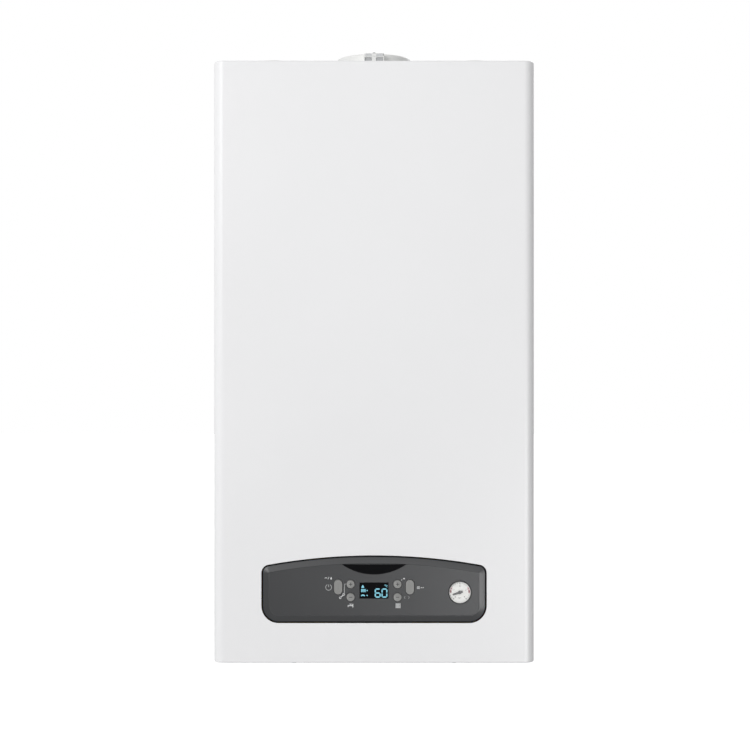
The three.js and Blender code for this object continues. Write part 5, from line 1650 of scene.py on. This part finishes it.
class BOILER_OT_pipes(bpy.types.Operator):
    """Models the three copper pipes as smooth bent tubes with a hexagonal nut at each end"""

    bl_idname = "boiler.pipes"
    bl_label = "Inner pipes"

    def execute(self, context):
        radius, tight, wide = 8, 10, 20
        floor = corners("chamber_box")[0].z
        low, high = corners("gas_pipe")
        rear, front = high.y - radius, low.y + radius
        gas = [(0, rear, low.z), (0, rear, low.z + 34), (0, front, low.z + 34), (0, front, high.z)]
        self.pipe("gas_pipe", gas, radius, wide)
        low, high = corners("flow_pipe")
        x, rear, front, top = low.x + radius, high.y - radius, low.y + radius, high.z - radius
        flow = [
            (high.x, front, top),
            (x, front, top),
            (x, front, top - 60),
            (x, COLLAR_Y, top - 60),
            (x, COLLAR_Y, floor - 90),
            (x, rear, floor - 90),
            (x, rear, low.z),
        ]
        self.pipe("flow_pipe", flow, radius, tight)
        low, high = corners("return_pipe")
        x, rear, top = high.x - radius, high.y - radius, high.z - radius
        outlet_x = self.outlet()
        back = [
            (outlet_x, rear, low.z),
            (outlet_x, rear, low.z + 37),
            (outlet_x, COLLAR_Y, low.z + 37),
            (outlet_x, COLLAR_Y, low.z + 74),
            (x, COLLAR_Y, low.z + 74),
            (x, COLLAR_Y, top),
            (corners("heat_exchanger")[1].x + 0.3, COLLAR_Y, top),
        ]
        self.pipe("return_pipe", back, radius, tight)
        return {"FINISHED"}

    def outlet(self):
        """The x of the return pipe's lower end: the middle of its lowest vertices."""
        node = NODES["return_pipe"]
        places = [(node.matrix_world @ v.co) / MM for v in node.data.vertices]
        base = min(place.z for place in places)
        across = [place.x for place in places if place.z < base + 1]
        return (min(across) + max(across)) / 2

    def pipe(self, node, path, radius, bend):
        """A tube along a path with round bends, and its two nuts."""
        points = [Vector(path[0])]
        for before, here, after in zip(path, path[1:], path[2:]):
            here = Vector(here)
            back = (Vector(before) - here).normalized()
            ahead = (Vector(after) - here).normalized()
            middle = here + (back + ahead) * bend
            for step in range(9):
                angle = step * math.pi / 16
                points.append(middle - ahead * bend * math.cos(angle) - back * bend * math.sin(angle))
        points.append(Vector(path[-1]))
        curve = bpy.data.curves.new(node, "CURVE")
        curve.dimensions = "3D"
        curve.bevel_depth = radius * MM
        curve.bevel_resolution = 6
        curve.use_fill_caps = True
        line = curve.splines.new("POLY")
        line.points.add(len(points) - 1)
        for knot, point in zip(line.points, points):
            knot.co = (*at(*point), 1)
        made = bpy.data.objects.new(node + "_shape", curve)
        bpy.context.collection.objects.link(made)
        only(made)
        bpy.ops.object.convert(target="MESH")
        tube = settled(node + "_shape")
        edit(tube, lambda: bpy.ops.mesh.remove_doubles(threshold=WELD), outwards)
        finished(tube, "boiler", "copper", node)
        ends = ((path[0], path[1]), (path[-1], path[-2]))
        nuts = [self.nut(Vector(end), Vector(towards), radius) for end, towards in ends]
        finished(joined(node + "_nuts", nuts), "boiler", "brass")

    def nut(self, end, towards, radius):
        """A hexagonal nut with eased edges, a little way in from a pipe's end."""
        along = (towards - end).normalized()
        axis = "XYZ"[max(range(3), key=lambda i: abs(along[i]))]
        across = {"X": (end.y, end.z), "Y": (end.x, end.z), "Z": (end.x, end.y)}[axis]
        start = end["XYZ".index(axis)]
        sign = along["XYZ".index(axis)]
        hexagon = arc(*across, radius * 1.55, 0, 360, 6)[:-1]
        span = sorted((start + sign * 0.8, start + sign * 9.5))
        return eased(extruded("nut", hexagon, axis, *span), 0.7, 3)


class BOILER_OT_inside(bpy.types.Operator):
    """Gives the inner nodes softer edges and their finishes"""

    bl_idname = "boiler.inside"
    bl_label = "Inner pieces"

    def execute(self, context):
        slots = {row["node"]: row["material_slot"] for row in frame["record"]["subparts"]}
        bodies = {node: NODES[node]["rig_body"] for node in NODES}
        for node, width in EASED_NODES.items():
            finished(refined(node, width), bodies[node], slots[node], node)
        for node, piece in NODES.items():
            if not piece.hide_render:
                piece.data.materials.clear()
                piece.data.materials.append(FINISHES[slots[node]])
        return {"FINISHED"}


EASED_NODES = {
    "chamber_box": 0.3,
    "chamber_cover": 0.3,
    "chamber_clip_left": 0.3,
    "chamber_clip_right": 0.3,
    "expansion_vessel": 1.5,
    "flow_group": 1.2,
    "return_group": 1.2,
    "diverter_actuator": 1.5,
    "diverter_stem": 0.3,
    "plate_heat_exchanger": 0.3,
    "pump_housing": 1.2,
    "pump_motor": 1.5,
    "air_vent": 0.8,
    "gas_valve": 1.5,
    "safety_valve_knob": 0.5,
    "filling_tap_knob": 0.5,
    "air_pressure_switch": 0.6,
}


# ---------------------------------------------------------------- stage


class BOILER_OT_stage(bpy.types.Operator):
    """Sets the camera, the lamps, the floor and the light all round"""

    bl_idname = "boiler.stage"
    bl_label = "Stage"

    def execute(self, context):
        stage = setting("stage")
        scene = context.scene
        scene.view_settings.view_transform = "Standard"
        eye = at(stage.aside / MM, FRONT - stage.distance / MM, stage.rise / MM)
        bpy.ops.object.select_all(action="DESELECT")
        bpy.ops.object.camera_add(location=eye, rotation=(math.pi / 2, 0, 0))
        scene.camera = context.object
        scene.camera.data.lens = stage.lens
        scene.camera.data.sensor_width = 36
        self.lamp("key lamp", (-1.9, -2.8, 0.9), 1.6, stage.key)
        self.lamp("rear lamp", (1.8, 2.2, 1.4), 1.6, stage.fill)
        self.floor(stage)
        self.card("bright card", (1.85, -3.2, -1.05), (2.6, 0.9), (90, 0, 0), stage.sheen)
        self.card("card above", (0.55, -3.2, 0.4), (1.5, 0.8), (90, 0, 0), stage.crown)
        self.card("dark card on the left", (-1.1, -3.2, -1.05), (3.3, 0.9), (90, 0, 0), stage.shade)
        self.card("dark card below", (0, -3.2, -2.4), (5.4, 1.8), (90, 0, 0), stage.shade)
        self.card("dark card on the right", (1.3, 0.9, -0.3), (3, 3), (90, 0, 75), stage.shade)
        for side, word in ((-1, "left"), (1, "right")):
            place = (side * 0.5, 0.8, -0.3)
            self.card(f"edge card on the {word}", place, (0.5, 1.6), (90, 0, 0), stage.shade)
        self.world(scene, stage.ambient)
        return {"FINISHED"}

    def lamp(self, name, place, size, power):
        """A square soft lamp that faces the middle of the boiler."""
        middle = (CAD_BOX[0] + CAD_BOX[1]) / 2
        aim = (middle - Vector(place)).to_track_quat("-Z", "Y").to_euler()
        bpy.ops.object.light_add(type="AREA", location=place, rotation=aim)
        made = bpy.context.object
        made.name = name
        made.data.size = size
        made.data.energy = power
        made.visible_camera = False

    def floor(self, stage):
        """A pale floor that runs to the horizon and keeps shadows."""
        height = BASE - stage.floor_drop
        bpy.ops.mesh.primitive_plane_add(size=80, location=(0, 0, height))
        made = settled("floor")
        finish = Finish("floor", Base_Color=(0.86, 0.86, 0.86), Roughness=0.9, Emission_Strength=1.0)
        seen = finish.node("ShaderNodeLightPath", output="Is Camera Ray")
        glow = finish.mix(seen, (0, 0, 0), (0.75, 0.75, 0.75))
        made.data.materials.append(finish.wear(Emission_Color=glow))

    def card(self, name, place, size, turn, level):
        """A card that only glossy surfaces see, with its width, its height and its brightness."""
        bpy.ops.mesh.primitive_plane_add(
            size=1, location=place, rotation=[math.radians(angle) for angle in turn]
        )
        bpy.context.object.scale = (*size, 1)
        made = settled(name)
        finish = Finish(name, Base_Color=(0, 0, 0), Emission_Strength=level)
        made.data.materials.append(finish.wear(Emission_Color=(1, 1, 1)))
        for kind in ("camera", "diffuse", "shadow", "transmission"):
            setattr(made, "visible_" + kind, False)

    def world(self, scene, ambient):
        """White to the camera and to glossy surfaces, softer as light."""
        world = bpy.data.worlds.new("studio")
        scene.world = world
        world.use_nodes = True
        tree = world.node_tree
        background = tree.nodes["Background"]
        background.inputs["Color"].default_value = (1, 1, 1, 1)
        path = tree.nodes.new("ShaderNodeLightPath")
        seen = None
        for ray in ("Is Camera Ray", "Is Glossy Ray", "Is Transmission Ray"):
            if seen is None:
                seen = path.outputs[ray]
                continue
            total = tree.nodes.new("ShaderNodeMath")
            total.operation = "MAXIMUM"
            tree.links.new(seen, total.inputs[0])
            tree.links.new(path.outputs[ray], total.inputs[1])
            seen = total.outputs[0]
        level = tree.nodes.new("ShaderNodeMapRange")
        level.inputs["To Min"].default_value = ambient
        tree.links.new(seen, level.inputs["Value"])
        tree.links.new(level.outputs[0], background.inputs["Strength"])


# ---------------------------------------------------------------- the add-on


STEPS = (
    BOILER_OT_stage,
    BOILER_OT_front_cover,
    BOILER_OT_cover_screws,
    BOILER_OT_side_panels,
    BOILER_OT_top_panel,
    BOILER_OT_bottom_tray,
    BOILER_OT_back,
    BOILER_OT_flue,
    BOILER_OT_fascia,
    BOILER_OT_inlay,
    BOILER_OT_display,
    BOILER_OT_buttons,
    BOILER_OT_gauge,
    BOILER_OT_symbols,
    BOILER_OT_control_box,
    BOILER_OT_unions,
    BOILER_OT_pipes,
    BOILER_OT_inside,
)


class BOILER_PT_pieces(bpy.types.Panel):
    """Lists the operators that model the boiler"""

    bl_label = "Combination boiler"
    bl_idname = "BOILER_PT_pieces"
    bl_space_type = "VIEW_3D"
    bl_region_type = "UI"
    bl_category = "Boiler"

    def draw(self, context):
        for step in STEPS:
            self.layout.operator(step.bl_idname)


def register():
    for group in SETTINGS.values():
        bpy.utils.register_class(group)
    for name, group in SETTINGS.items():
        setattr(bpy.types.Scene, name, PointerProperty(type=group))
    for step in (*STEPS, BOILER_PT_pieces):
        bpy.utils.register_class(step)


def unregister():
    for step in (*STEPS, BOILER_PT_pieces):
        bpy.utils.unregister_class(step)
    for name, group in SETTINGS.items():
        delattr(bpy.types.Scene, name)
        bpy.utils.unregister_class(group)


def build():
    """Registers the add-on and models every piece."""
    register()
    FINISHES.update(make_finishes())
    for step in STEPS:
        group, name = step.bl_idname.split(".")
        getattr(getattr(bpy.ops, group), name)()


if __name__ == "__main__":
    build()
